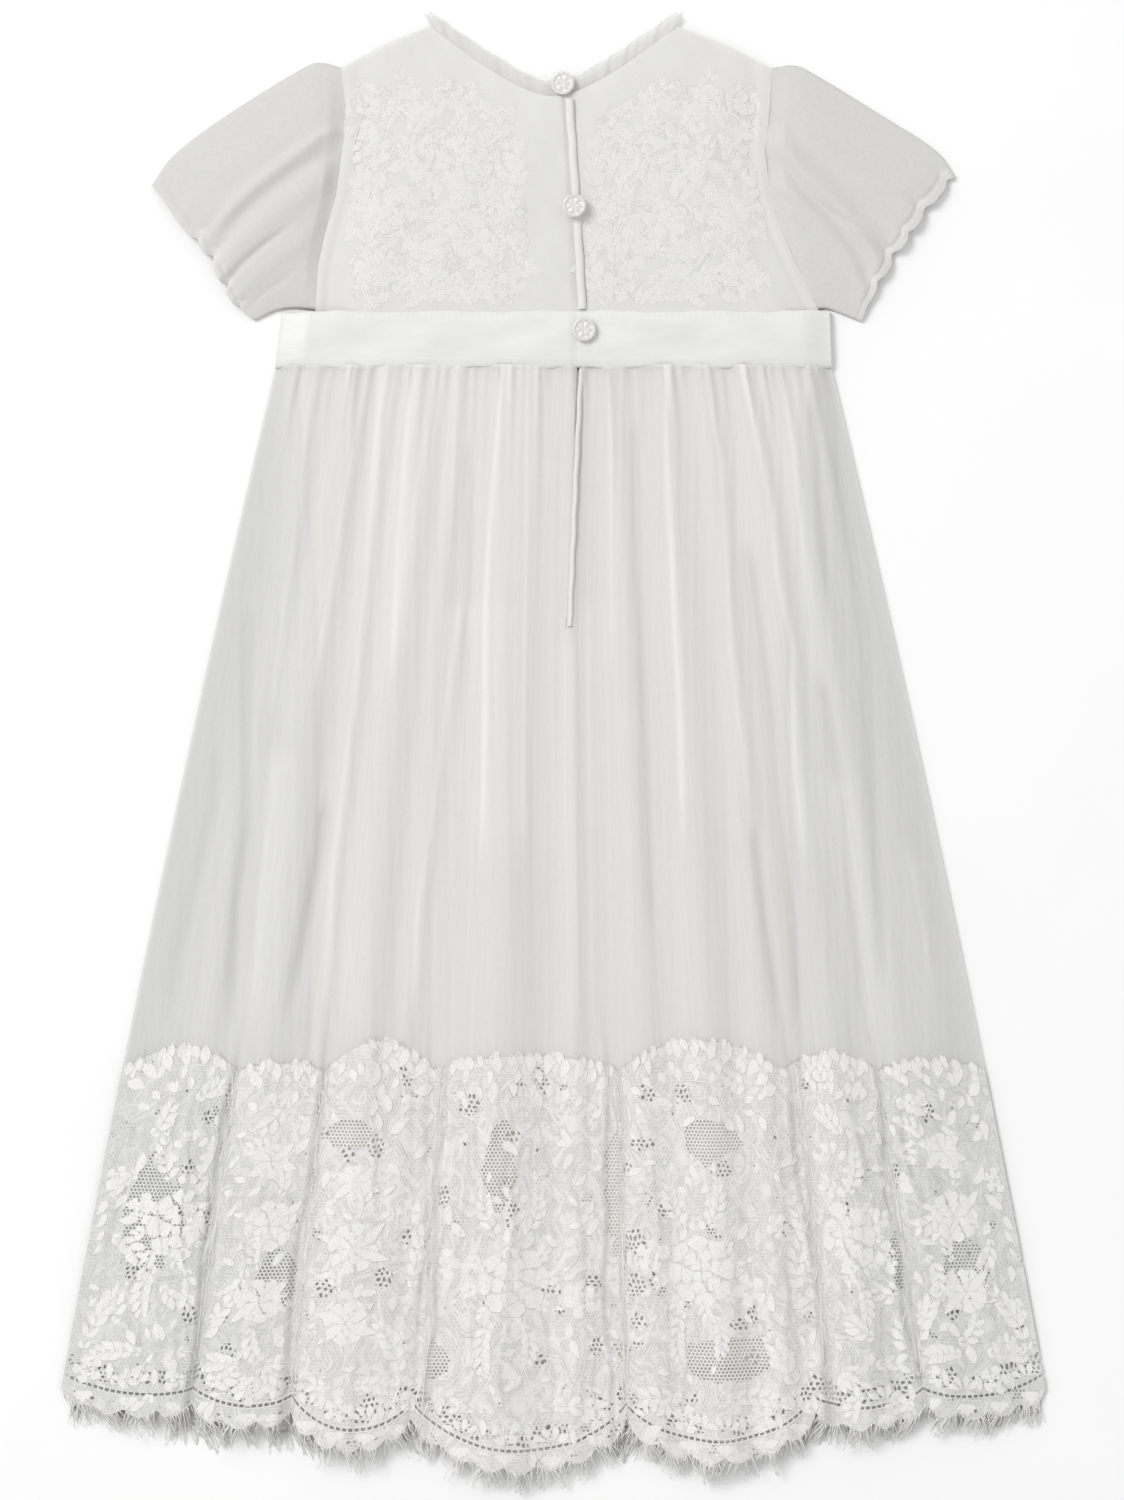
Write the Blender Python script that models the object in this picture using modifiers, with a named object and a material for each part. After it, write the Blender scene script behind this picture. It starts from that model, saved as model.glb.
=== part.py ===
"""A baby's chiffon dress with a lace hem, laid flat on its front so that its buttoned back shows.

Metres, +Z up from the surface that it lies on, +Y towards the neck, +X to the right as it lies.
The origin is on that surface, in the middle of the outline. Sizes below are in millimetres.
"""

import math

import bmesh
import bpy
from mathutils import Vector

MM = 0.001

# Walls and seams
WALL = 1.0
BODICE_WALL = 1.2
SASH_WALL = 1.6
SEAM = 0.3
SLIT_GAP = 0.8
WELD = 0.001

# A slope is measured over this step each way, and thickens a wall upwards by at most this factor
SLOPE_STEP = 0.5
STEEPEST = 1.6

# Heights of the back layers' inner faces over the surface
EDGE_HEIGHT = WALL + SEAM
LINING_FRONT_HEIGHT = WALL + SEAM
LINING_BACK_HEIGHT = LINING_FRONT_HEIGHT + WALL + SEAM
STACK_HEIGHT = LINING_BACK_HEIGHT + WALL + SEAM

# Neck and shoulders
NECK_HALF = 49.0
SHOULDER_NECK_Y = 286.0
BACK_NECK_Y = 257.8
FRONT_NECK_Y = 236.0
NECK_EASE = 0.15
FRILL_HALF = 51.8
FRILL_PEAK_Y = 294.2
BACK_FRILL_Y = 264.4
FRONT_FRILL_Y = 243.0
BACK_NECK_POWER = 1.35
BACK_FRILL_POWER = 1.15
FRONT_NECK_POWER = 2.2
FRILL_WAVES = 7
FRILL_RISE = 1.6
FRILL_RIPPLE = 0.9
SHOULDER_SHARE = 0.2

# Sash between bodice and skirt
SASH_TOP = 172.0
SASH_BOTTOM = 149.4
SASH_LEFT_TOP = -108.4
SASH_RIGHT_TOP = 110.4
SASH_HALF_BOTTOM = 111.2
SASH_CROWN = 0.5

# Skirt outline: its half width at the waist, and how it flares down to the hem line
SKIRT_TOP = SASH_BOTTOM - SEAM
SKIRT_DROP = 407.6
WAIST_HALF = 111.2
FLARE = 97.0
FLARE_EASE = 11.4
SLIT_END_Y = 48.0
LACE_TOP_Y = -131.0
HEM_Y = SKIRT_TOP - SKIRT_DROP

# Gathers under the sash, on the back
GATHERS = 30
GATHER_RISE = 1.5
GATHER_FADE = 0.055
COLUMNS_PER_GATHER = 3
SKIRT_COLUMNS = GATHERS * COLUMNS_PER_GATHER

# Lining, narrower than the skirt
LINING_BOTTOM_Y = -250.0

# Eyelash fringe under the lace: one thread to a column, its root's share of the column, sizes
FRINGE_ROOT = 0.36
FRINGE_GAP = 0.45
FRINGE_STRIP = 1.0
FRINGE_WALL = 0.6
THREAD_LENGTH = 6.4
THREAD_LEAN = 1.6

# Sleeve puff, over its inner face at the folded edges
SLEEVE_PUFF = 3.8
SLEEVE_GATHERS = 7
SLEEVE_GATHER_RISE = 1.6
SLEEVE_GATHER_DEPTH = 2.4
SLEEVE_COLUMNS = 28
SLEEVE_RINGS = (0.0, 0.08, 0.2, 0.36, 0.54, 0.7, 0.82, 0.92, 1.0)
SLEEVE_TUCK = 0.012

BUTTON_RADIUS = 4.7
BUTTON_SIDES = 20

# Folded strips beside the opening: thickness at the edge and what the middle adds
PLACKET_EDGE = 0.7
PLACKET_CROWN = 0.3

# Middle of the back: y, x of the line where its two sides meet
CENTRE_LINE = (
    (264.4, 3.6),
    (215.0, 7.0),
    (172.0, 9.4),
    (149.0, 9.6),
    (104.0, 7.4),
    (48.0, 5.0),
    (-131.0, 7.0),
)

# Half width of the lining: y, half width
LINING_SIDES = (
    (149.0, 103.0),
    (90.0, 97.0),
    (15.0, 92.0),
    (-100.0, 97.0),
    (-250.0, 101.0),
)

# Armhole seams: y, x on the left, x on the right
ARMHOLES = (
    (269.2, -84.4, 86.8),
    (254.0, -82.6, 86.0),
    (236.0, -84.0, 84.0),
    (218.0, -86.4, 86.2),
    (203.0, -90.8, 91.0),
    (190.0, -93.6, 96.8),
    (172.3, -94.6, 105.4),
)

# Skirt folds as shares of the half width: place at the waist and the hem, rise at each, width
RIDGES = (
    # waist, hem, waist_rise, hem_rise, width
    (-0.92, -0.89, 0.6, 1.6, 0.060),
    (-0.84, -0.80, 0.9, 1.8, 0.040),
    (-0.71, -0.63, 1.4, 4.2, 0.060),
    (-0.58, -0.55, 1.0, 2.2, 0.030),
    (-0.46, -0.43, 1.6, 4.6, 0.060),
    (-0.33, -0.35, 0.9, 2.0, 0.030),
    (-0.135, -0.12, 1.8, 5.2, 0.075),
    (0.06, 0.045, 1.2, 2.2, 0.030),
    (0.22, 0.21, 0.9, 2.6, 0.040),
    (0.385, 0.34, 1.8, 5.2, 0.060),
    (0.54, 0.46, 1.2, 3.6, 0.040),
    (0.69, 0.63, 1.5, 4.4, 0.050),
    (0.81, 0.80, 1.0, 3.0, 0.050),
    (0.92, 0.91, 0.6, 1.8, 0.050),
)
VALLEYS = (
    # waist, hem, waist_depth, hem_depth, width
    (-0.78, -0.73, 0.2, 0.95, 0.022),
    (-0.63, -0.53, 0.3, 0.9, 0.022),
    (-0.28, -0.26, 0.2, 0.85, 0.030),
    (-0.01, 0.00, 0.5, 0.3, 0.030),
    (0.14, 0.115, 0.2, 0.9, 0.020),
    (0.62, 0.52, 0.4, 0.95, 0.026),
    (0.76, 0.72, 0.2, 0.9, 0.022),
)

# How much lower the hem hangs in the middle than at the sides
HEM_BOW = 12.0

# Big scallops of the lace: edges as shares of the half width, drop, top arch, small ones on each
BACK_SCALLOPS = (
    # left, right, drop, arch, small
    (-1.00, -0.74, 4.5, 9.0, 4),
    (-0.74, -0.545, 5.0, 3.0, 3),
    (-0.545, -0.31, 12.0, 12.0, 5),
    (-0.31, 0.115, 18.5, 6.0, 7),
    (0.115, 0.51, 15.5, 12.0, 6),
    (0.51, 0.74, 5.5, 7.0, 4),
    (0.74, 1.00, 5.5, 4.0, 4),
)
FRONT_SCALLOPS = (
    # left, right, drop, arch, small
    (-1.00, -0.80, 2.5, 3.0, 3),
    (-0.80, -0.61, 9.5, 5.0, 3),
    (-0.61, -0.42, 9.0, 5.0, 3),
    (-0.42, -0.06, 6.0, 6.0, 6),
    (-0.06, 0.36, 7.0, 6.0, 6),
    (0.36, 0.74, 5.0, 6.0, 6),
    (0.74, 1.00, 4.0, 3.0, 4),
)
SMALL_SCALLOP_DROP = 3.0

# Sleeve outlines: shoulder fold, gathered hem and underarm fold, each from the armhole or top down
LEFT_SLEEVE = {
    "top": ((-84.8, 269.2), (-93.4, 271.4), (-101.6, 268.8), (-131.4, 250.2), (-151.4, 235.0), (-160.6, 222.6)),
    "hem": ((-160.6, 222.6), (-150.6, 207.4), (-141.0, 196.0), (-134.0, 184.0), (-128.4, 174.4), (-119.4, 168.4)),
    "under": ((-94.9, 172.9), (-104.5, 173.5), (-111.2, 172.4), (-119.4, 168.4)),
}
RIGHT_SLEEVE = {
    "top": ((87.2, 269.2), (96.6, 270.4), (104.8, 267.0), (131.4, 250.6), (152.4, 237.0), (160.6, 226.4)),
    "hem": ((160.6, 226.4), (154.8, 217.6), (145.6, 205.6), (138.4, 194.4), (130.4, 181.4), (122.8, 167.8)),
    "under": ((105.7, 172.9), (109.4, 173.3), (114.6, 171.4), (122.8, 167.8)),
}
# Sleeve folds, from armhole to hem: place across at the armhole and the hem, rise, width
SLEEVE_FOLDS = (
    # armhole, hem, rise, width
    (0.30, 0.62, 3.0, 0.060),
    (0.48, 0.86, 2.4, 0.050),
    (0.14, 0.30, 1.8, 0.080),
)

# Colours as the cloth shows them: red, green, blue, roughness, metallic
MATERIALS = {
    "chiffon": (0.80, 0.80, 0.78, 0.85, 0.0),
    "lace": (0.84, 0.84, 0.82, 0.80, 0.0),
    "satin": (0.86, 0.86, 0.87, 0.35, 0.0),
    "lining": (0.80, 0.77, 0.72, 0.90, 0.0),
    "button": (0.82, 0.81, 0.76, 0.25, 0.3),
}


def smooth(share):
    """0 to 1 with an easy start and end."""
    share = min(1.0, max(0.0, share))
    return share * share * (3 - 2 * share)


def bell(offset):
    return math.exp(-offset * offset)


def along(table, place, column=1):
    """A table's column at a place in its falling first column, on straight runs."""
    if place >= table[0][0]:
        return table[0][column]
    for above, below in zip(table, table[1:]):
        if place >= below[0]:
            share = (above[0] - place) / (above[0] - below[0])
            return above[column] + share * (below[column] - above[column])
    return table[-1][column]


def curve_at(points, share):
    """A point at a share of the way along a smooth curve through points."""
    place = min(max(share, 0.0), 1.0) * (len(points) - 1)
    i = min(int(place), len(points) - 2)
    f = place - i
    p1, p2 = points[i], points[i + 1]
    p0 = points[i - 1] if i > 0 else [2 * a - b for a, b in zip(p1, p2)]
    p3 = points[i + 2] if i + 2 < len(points) else [2 * b - a for a, b in zip(p1, p2)]
    return [
        0.5 * (2 * b + (c - a) * f + (2 * a - 5 * b + 4 * c - d) * f**2 + (3 * b - a - 3 * c + d) * f**3)
        for a, b, c, d in zip(p0, p1, p2, p3)
    ]


def patch(top, bottom, left, right, a, b):
    """A point of the sheet that fills four edges. a runs from left to right and b from top to bottom."""
    t, u, l, r = top(a), bottom(a), left(b), right(b)
    corners = (top(0), top(1), bottom(0), bottom(1))
    return [
        (1 - b) * t[k] + b * u[k] + (1 - a) * l[k] + a * r[k]
        - (1 - a) * (1 - b) * corners[0][k] - a * (1 - b) * corners[1][k]
        - (1 - a) * b * corners[2][k] - a * b * corners[3][k]
        for k in (0, 1)
    ]


def material(name, slot):
    """A part's own Principled material, with the looks of its slot."""
    made = bpy.data.materials.new(name)
    made.use_nodes = True
    red, green, blue, roughness, metallic = MATERIALS[slot]
    shader = made.node_tree.nodes["Principled BSDF"]
    shader.inputs["Base Color"].default_value = (red, green, blue, 1)
    shader.inputs["Roughness"].default_value = roughness
    shader.inputs["Metallic"].default_value = metallic
    made.diffuse_color = (red, green, blue, 1)
    return made


def add_part(name, shape, slot, dress):
    """An object from a finished bmesh, facing out, smooth over its folds and sharp at its edges."""
    bmesh.ops.recalc_face_normals(shape, faces=shape.faces)
    mesh = bpy.data.meshes.new(name)
    shape.to_mesh(mesh)
    shape.free()
    mesh.materials.append(material(name, slot))
    mesh.shade_smooth()
    mesh.set_sharp_from_angle(angle=math.radians(50))
    part = bpy.data.objects.new(name, mesh)
    part.parent = dress["root"]
    dress["parts"].objects.link(part)
    return part


def cloth(columns, rows, first, second, closed=False):
    """A cloth wall as a bmesh: a grid on one face, extruded to the other.

    first and second give a point in millimetres on each face, for a column and a row counted from
    the top left. A closed wall's last column meets its first, so that it runs round a tube.
    """
    shape = bmesh.new()
    column = shape.verts.layers.int.new("column")
    row = shape.verts.layers.int.new("row")
    bmesh.ops.create_grid(shape, x_segments=columns, y_segments=rows, size=0.5)
    for vert in shape.verts:
        vert[column] = round((vert.co.x + 0.5) * columns)
        vert[row] = round((0.5 - vert.co.y) * rows)
        vert.co = Vector(first(vert[column], vert[row])) * MM
    if closed:
        bmesh.ops.remove_doubles(shape, verts=shape.verts, dist=WELD * MM)
    grown = bmesh.ops.extrude_face_region(shape, geom=shape.faces[:])["geom"]
    for vert in [item for item in grown if isinstance(item, bmesh.types.BMVert)]:
        vert.co = Vector(second(vert[column], vert[row])) * MM
    return shape


def panel(points, height, thickness):
    """A cloth wall over rows of flat points, as thick across a slope as on the flat."""
    def lower(c, r):
        x, y = points[r][c]
        return x, y, height(x, y)

    def upper(c, r):
        x, y, z = lower(c, r)
        slope = (height(x + SLOPE_STEP, y) - height(x - SLOPE_STEP, y)) / (2 * SLOPE_STEP)
        return x, y, z + thickness * min(math.hypot(1, slope), STEEPEST)

    return cloth(len(points[0]) - 1, len(points) - 1, lower, upper)


def flat_panel(points, bottom, thickness):
    return panel(points, lambda x, y: bottom, thickness)


def skirt_share(y):
    """0 at the waist and 1 at the hem line."""
    return (SKIRT_TOP - y) / SKIRT_DROP


def skirt_half(y):
    t = skirt_share(y)
    return WAIST_HALF + FLARE * t - FLARE_EASE * t * t


def side_fall(x, y):
    """1 over the middle of the skirt, falling to 0 at its side folds, outside the lining."""
    half = skirt_half(y)
    run = min(34.0, half - along(LINING_SIDES, y) - 1.0)
    return smooth((half - abs(x)) / run)


def fold_rise(s, t):
    """How far the skirt's folds lift the back, at a share s across and t down."""
    rise = 0.0
    for waist, hem, waist_rise, hem_rise, width in RIDGES:
        place = waist + (hem - waist) * t
        rise += (waist_rise + (hem_rise - waist_rise) * t) * bell((s - place) / width)
    for waist, hem, waist_depth, hem_depth, width in VALLEYS:
        place = waist + (hem - waist) * t
        rise *= 1 - (waist_depth + (hem_depth - waist_depth) * t) * bell((s - place) / width)
    gather = 0.5 - 0.5 * math.cos(math.pi * (s + 1) * GATHERS)
    return rise + GATHER_RISE * gather * math.exp(-t / GATHER_FADE)


def skirt_height(x, y):
    """Height of the inner face of the skirt's back."""
    t = skirt_share(y)
    fall = side_fall(x, y)
    base = EDGE_HEIGHT + (STACK_HEIGHT - EDGE_HEIGHT) * fall
    return base + fold_rise(x / skirt_half(y), max(t, 0.0)) * (0.25 + 0.75 * fall) * smooth(
        (skirt_half(y) - abs(x)) / 6.0
    )


def bodice_height(x, y):
    """Height of the inner face of the bodice's back: full at the sash, thin at neck and shoulders."""
    side = min(x - along(ARMHOLES, y, 1), along(ARMHOLES, y, 2) - x)
    full = smooth(side / 26.0 + 0.12) * smooth((SHOULDER_NECK_Y - y) / 60.0)
    return EDGE_HEIGHT + 0.2 + (STACK_HEIGHT - EDGE_HEIGHT - 0.2) * full


def scallop_edges(scallops, s):
    """How far the lace hangs below the hem line and arches above its top line, at a share s."""
    for left, right, drop, arch, small in scallops:
        if s <= right or right >= 1.0:
            share = min(max((s - left) / (right - left), 0.0), 1.0)
            bow = 4 * share * (1 - share)
            ripple = abs(math.sin(math.pi * small * share))
            return HEM_BOW * (1 - s * s) + drop * bow**0.8 + SMALL_SCALLOP_DROP * ripple, arch * bow
    return 0.0, 0.0


def skirt_columns():
    """Shares across the skirt, from its left fold at -1 to its right fold at 1."""
    return [-1 + 2 * c / SKIRT_COLUMNS for c in range(SKIRT_COLUMNS + 1)]


def across_skirt(s, y, gap=0.0):
    """x at a share s from the centre line, where s is 0, out to a side of the skirt, where it is -1 or 1."""
    side = math.copysign(1, s)
    centre = along(CENTRE_LINE, y) + side * gap / 2
    return centre + (side * skirt_half(y) - centre) * abs(s)


def lace_edge(scallops, shares):
    """Flat points of the scalloped hem at shares across, on the straight runs of the lace's own edge."""
    edge = lace_points(scallops, (1.0,))[0]
    points = []
    for s in shares:
        place = (s + 1) / 2 * SKIRT_COLUMNS
        i = min(int(place), SKIRT_COLUMNS - 1)
        f = place - i
        points.append(tuple(a + (b - a) * f for a, b in zip(edge[i], edge[i + 1])))
    return points


def lace_points(scallops, rows):
    """Flat points of a lace band between its arched top and its scalloped hem."""
    grid = []
    for share in rows:
        row = []
        for s in skirt_columns():
            drop, arch = scallop_edges(scallops, s)
            top, bottom = LACE_TOP_Y + arch, HEM_Y - drop
            y = top + share * (bottom - top)
            row.append((across_skirt(s, y), y))
        grid.append(row)
    return grid


def skirt_point(scallops, share, s, gap=0.0, slit_gap=0.0):
    """A flat point of the skirt at a share of the way from the sash down to the lace."""
    _, arch = scallop_edges(scallops, s)
    y = SKIRT_TOP + share * (LACE_TOP_Y + arch + SEAM - SKIRT_TOP)
    return across_skirt(s, y, slit_gap if y > SLIT_END_Y else gap), y


def back_skirt(dress):
    """The two back panels of chiffon, parted by the slit and the seam below it."""
    rows = (0.0, 0.02, 0.06, 0.12, 0.21, 0.36, 0.55, 0.77, 1.0)
    half_columns = SKIRT_COLUMNS // 2
    for side, name in ((-1, "skirt_back_left"), (1, "skirt_back_right")):
        shares = [math.copysign(1 - c / half_columns, side) for c in range(half_columns + 1)]
        points = [[skirt_point(BACK_SCALLOPS, row, s, SEAM, SLIT_GAP) for s in shares] for row in rows]
        add_part(name, panel(points, skirt_height, WALL), "chiffon", dress)


def front_skirt(dress):
    rows = (0.0, 0.25, 0.5, 0.75, 1.0)
    points = [[skirt_point(FRONT_SCALLOPS, row, s) for s in skirt_columns()] for row in rows]
    add_part("skirt_front", flat_panel(points, 0.0, WALL), "chiffon", dress)


def lace_bands(dress):
    back = lace_points(BACK_SCALLOPS, (0.0, 0.22, 0.5, 0.76, 1.0))
    add_part("lace_back", panel(back, skirt_height, WALL), "lace", dress)
    front = lace_points(FRONT_SCALLOPS, (0.0, 0.5, 1.0))
    add_part("lace_front", flat_panel(front, 0.0, WALL), "lace", dress)


def fringe(name, scallops, height, dress):
    """Eyelash threads below a lace edge, fused at their roots into a narrow strip beside it."""
    shares = []
    for s in skirt_columns()[:-1]:
        shares += [s, s + 2 * (1 - FRINGE_ROOT) / SKIRT_COLUMNS]
    edge = lace_edge(scallops, shares + [1.0])

    def lower(c, r):
        x, y = edge[c]
        return x, y - FRINGE_GAP - r * FRINGE_STRIP, height(x, y)

    def upper(c, r):
        x, y, z = lower(c, r)
        return x, y, z + FRINGE_WALL

    shape = cloth(len(shares), 1, lower, upper)
    column = shape.verts.layers.int["column"]
    row = shape.verts.layers.int["row"]
    for face in shape.faces[:]:
        places = {vert[column] for vert in face.verts}
        if {vert[row] for vert in face.verts} != {1} or len(places) != 2 or min(places) % 2 == 0:
            continue
        place = min(places)
        lean = THREAD_LEAN * math.sin(2.3 * place)
        length = THREAD_LENGTH * (0.84 + 0.16 * math.sin(1.7 * place))
        low = min(vert.co.y for vert in face.verts)
        tip = bmesh.ops.poke(shape, faces=[face])["verts"][0]
        tip.co.x += lean * MM
        tip.co.y = low - length * MM
    add_part(name, shape, "lace", dress)


def linings(dress):
    """The two plain panels under the chiffon, which show through it as a warmer middle."""
    top = SKIRT_TOP - 2 * SEAM
    columns, rows = 4, 8
    points = []
    for r in range(rows + 1):
        y = top - (top - LINING_BOTTOM_Y) * r / rows
        points.append([(along(LINING_SIDES, y) * (2 * c / columns - 1), y) for c in range(columns + 1)])
    add_part("lining_front", flat_panel(points, LINING_FRONT_HEIGHT, WALL), "lining", dress)
    add_part("lining_back", flat_panel(points, LINING_BACK_HEIGHT, WALL), "lining", dress)


def neck_curve(x, centre_y, end_y, half, power):
    """Height on the sheet of a round neck line, rising from the centre to its ends."""
    low = NECK_EASE**power
    share = ((x / half) ** 2 + NECK_EASE**2) ** (power / 2) - low
    return centre_y + (end_y - centre_y) * share / ((1 + NECK_EASE**2) ** (power / 2) - low)


def back_seam_y(x):
    return neck_curve(x, BACK_NECK_Y, SHOULDER_NECK_Y, NECK_HALF, BACK_NECK_POWER)


def front_seam_y(x):
    return neck_curve(x, FRONT_NECK_Y, SHOULDER_NECK_Y, NECK_HALF, FRONT_NECK_POWER)


def armhole_point(side, share):
    """A point of an armhole seam, from the shoulder down to the sash."""
    top, bottom = ARMHOLES[0][0], SASH_TOP + SEAM
    y = top + (bottom - top) * share
    return along(ARMHOLES, y, 1 if side < 0 else 2), y


def shoulder_and_neck(a, corners, neck_end, neck):
    """A bodice's top edge at a share: shoulder seams at one or both ends and the neck between."""
    for corner, end, share in zip(corners, neck_end, (a, 1 - a)):
        if corner and share <= SHOULDER_SHARE:
            f = share / SHOULDER_SHARE
            return corner[0] + (end[0] - corner[0]) * f, corner[1] + (end[1] - corner[1]) * f
    start = SHOULDER_SHARE if corners[0] else 0.0
    stop = 1 - SHOULDER_SHARE if corners[1] else 1.0
    x = neck_end[0][0] + (neck_end[1][0] - neck_end[0][0]) * (a - start) / (stop - start)
    return x, neck(x)


def bodice_back(dress):
    """The two back panels of the bodice, chiffon and its lace overlay in one wall."""
    columns, rows = 5 * FRILL_WAVES, 10
    for side, name in ((-1, "bodice_back_left"), (1, "bodice_back_right")):
        neck_x = along(CENTRE_LINE, BACK_NECK_Y) + side * SEAM / 2
        ends = ((side * NECK_HALF, SHOULDER_NECK_Y), (neck_x, back_seam_y(neck_x)))

        def top(a):
            return shoulder_and_neck(a, (armhole_point(side, 0), None), ends, back_seam_y)

        def bottom(a):
            corner = armhole_point(side, 1)
            centre = along(CENTRE_LINE, corner[1]) + side * SEAM / 2
            return corner[0] + (centre - corner[0]) * a, corner[1]

        def inner(b):
            y = ends[1][1] + (SASH_TOP + SEAM - ends[1][1]) * b
            return along(CENTRE_LINE, y) + side * SEAM / 2, y

        points = [
            [
                patch(top, bottom, lambda b: armhole_point(side, b), inner, c / columns, r / rows)
                for c in range(columns + 1)
            ]
            for r in range(rows + 1)
        ]
        add_part(name, panel(points, bodice_height, BODICE_WALL), "lace", dress)


def bodice_front(dress):
    columns, rows = 40, 8
    ends = ((-NECK_HALF, SHOULDER_NECK_Y), (NECK_HALF, SHOULDER_NECK_Y))

    def left(b):
        return armhole_point(-1, b)

    def right(b):
        return armhole_point(1, b)

    def top(a):
        return shoulder_and_neck(a, (left(0), right(0)), ends, front_seam_y)

    def bottom(a):
        return left(1)[0] + (right(1)[0] - left(1)[0]) * a, left(1)[1]

    points = [
        [patch(top, bottom, left, right, c / columns, r / rows) for c in range(columns + 1)]
        for r in range(rows + 1)
    ]
    add_part("bodice_front", flat_panel(points, 0.0, BODICE_WALL), "lace", dress)


def back_frills(dress):
    """The gathered edging that stands along the back neck, one stretch on each side of the opening."""
    columns, rows = 4 * FRILL_WAVES, 2
    for side, name in ((-1, "neck_frill_back_left"), (1, "neck_frill_back_right")):
        centre = along(CENTRE_LINE, BACK_FRILL_Y) + side * SEAM / 2

        def lower(c, r):
            a, across = c / columns, r / rows
            seam_x = side * NECK_HALF + (centre - side * NECK_HALF) * a
            edge_x = side * FRILL_HALF + (centre - side * FRILL_HALF) * a
            seam_y = back_seam_y(seam_x) + SEAM
            edge_y = neck_curve(edge_x, BACK_FRILL_Y, FRILL_PEAK_Y, FRILL_HALF, BACK_FRILL_POWER)
            wave = 0.5 - 0.5 * math.cos(2 * math.pi * FRILL_WAVES * a)
            x = seam_x + (edge_x - seam_x) * across
            y = seam_y + (edge_y - seam_y) * across - FRILL_RIPPLE * wave * across
            return x, y, EDGE_HEIGHT + FRILL_RISE * wave * (0.25 + 0.75 * across)

        def upper(c, r):
            x, y, z = lower(c, r)
            return x, y, z + WALL

        add_part(name, cloth(columns, rows, lower, upper), "chiffon", dress)


def front_frill(dress):
    columns = 24
    points = [[], []]
    for c in range(columns + 1):
        share = 2 * c / columns - 1
        seam_x, edge_x = share * NECK_HALF, share * FRILL_HALF
        edge_y = neck_curve(edge_x, FRONT_FRILL_Y, FRILL_PEAK_Y, FRILL_HALF, FRONT_NECK_POWER)
        points[0].append((seam_x, front_seam_y(seam_x) + SEAM))
        points[1].append((edge_x, edge_y))
    add_part("neck_frill_front", flat_panel(points, 0.0, WALL), "chiffon", dress)


def sash_end(side, y):
    top = SASH_LEFT_TOP if side < 0 else SASH_RIGHT_TOP
    return top + (side * SASH_HALF_BOTTOM - top) * (SASH_TOP - y) / (SASH_TOP - SASH_BOTTOM)


def sash_height(x, y):
    """Height of the inner face of the sash's back, which comes down to the front at its ends."""
    edge = SASH_WALL + SEAM
    inside = min(x - sash_end(-1, y), sash_end(1, y) - x)
    return edge + (STACK_HEIGHT + 0.3 - edge) * smooth(inside / 12.0)


def sashes(dress):
    """The ribbon band: one piece across the front and two that meet at the middle of the back."""
    columns, rows = 12, 6
    ys = [SASH_TOP - (SASH_TOP - SASH_BOTTOM) * r / rows for r in range(rows + 1)]
    for side, name in ((-1, "sash_back_left"), (1, "sash_back_right")):
        points = []
        for y in ys:
            centre = along(CENTRE_LINE, y) + side * SEAM / 2
            end = sash_end(side, y)
            points.append([(end + (centre - end) * (c / columns) ** 1.4, y) for c in range(columns + 1)])

        def lower(c, r):
            x, y = points[r][c]
            return x, y, sash_height(x, y)

        def upper(c, r):
            x, y, z = lower(c, r)
            return x, y, z + SASH_WALL + SASH_CROWN * math.sin(math.pi * r / rows)

        add_part(name, cloth(columns, rows, lower, upper), "satin", dress)
    points = [[(sash_end(-1, y), y), (0.0, y), (sash_end(1, y), y)] for y in (SASH_TOP, SASH_BOTTOM)]
    add_part("sash_front", flat_panel(points, 0.0, SASH_WALL), "satin", dress)


def sleeve(name, side, edges, dress):
    """A puffed sleeve as it lies: a flattened tube from the armhole to its gathered hem."""
    def armhole(share):
        x, y = armhole_point(side, share)
        return x + side * 2 * SEAM, y

    def gather(v):
        return 0.5 - 0.5 * math.cos(2 * math.pi * SLEEVE_GATHERS * v)

    def hem(v):
        x, y = curve_at(edges["hem"], v)
        drawn = SLEEVE_GATHER_DEPTH * (1 - gather(v)) * smooth(12 * v) * smooth(12 * (1 - v))
        return x - side * 0.8 * drawn, y + 0.6 * drawn

    def top(a):
        return curve_at(edges["top"], a)

    def under(a):
        return curve_at(edges["under"], a)

    def height(u, v):
        """Height of the upper layer's inner face, u from armhole to hem and v from shoulder to underarm."""
        across = math.sin(math.pi * v) ** 0.7
        z = SLEEVE_PUFF * (0.3 + 0.7 * math.sin(math.pi * (0.12 + 0.8 * u)) ** 0.8)
        for start, end, rise, width in SLEEVE_FOLDS:
            z += rise * bell((v - start - (end - start) * u) / width) * smooth(0.2 + 3 * u)
        z += SLEEVE_GATHER_RISE * gather(v) * math.exp(-(1 - u) / 0.16)
        return EDGE_HEIGHT + z * across

    def place(c, r, tuck, upper_lift, lower_height):
        """A point on a ring of the tube, which runs over the top layer and back under the lower one."""
        u = SLEEVE_RINGS[r]
        upper = c <= SLEEVE_COLUMNS
        v = c / SLEEVE_COLUMNS if upper else (2 * SLEEVE_COLUMNS + 1 - c) / SLEEVE_COLUMNS
        v = tuck + (1 - 2 * tuck) * min(max(v, 0.0), 1.0)
        x, y = patch(top, under, armhole, hem, u, v)
        return x, y, height(u, v) + upper_lift if upper else lower_height

    def ring(c):
        return c % (2 * SLEEVE_COLUMNS + 2)

    shape = cloth(
        2 * SLEEVE_COLUMNS + 2, len(SLEEVE_RINGS) - 1,
        lambda c, r: place(ring(c), r, 0.0, WALL, 0.0),
        lambda c, r: place(ring(c), r, SLEEVE_TUCK, 0.0, WALL),
        closed=True,
    )
    add_part(name, shape, "chiffon", dress)


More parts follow.
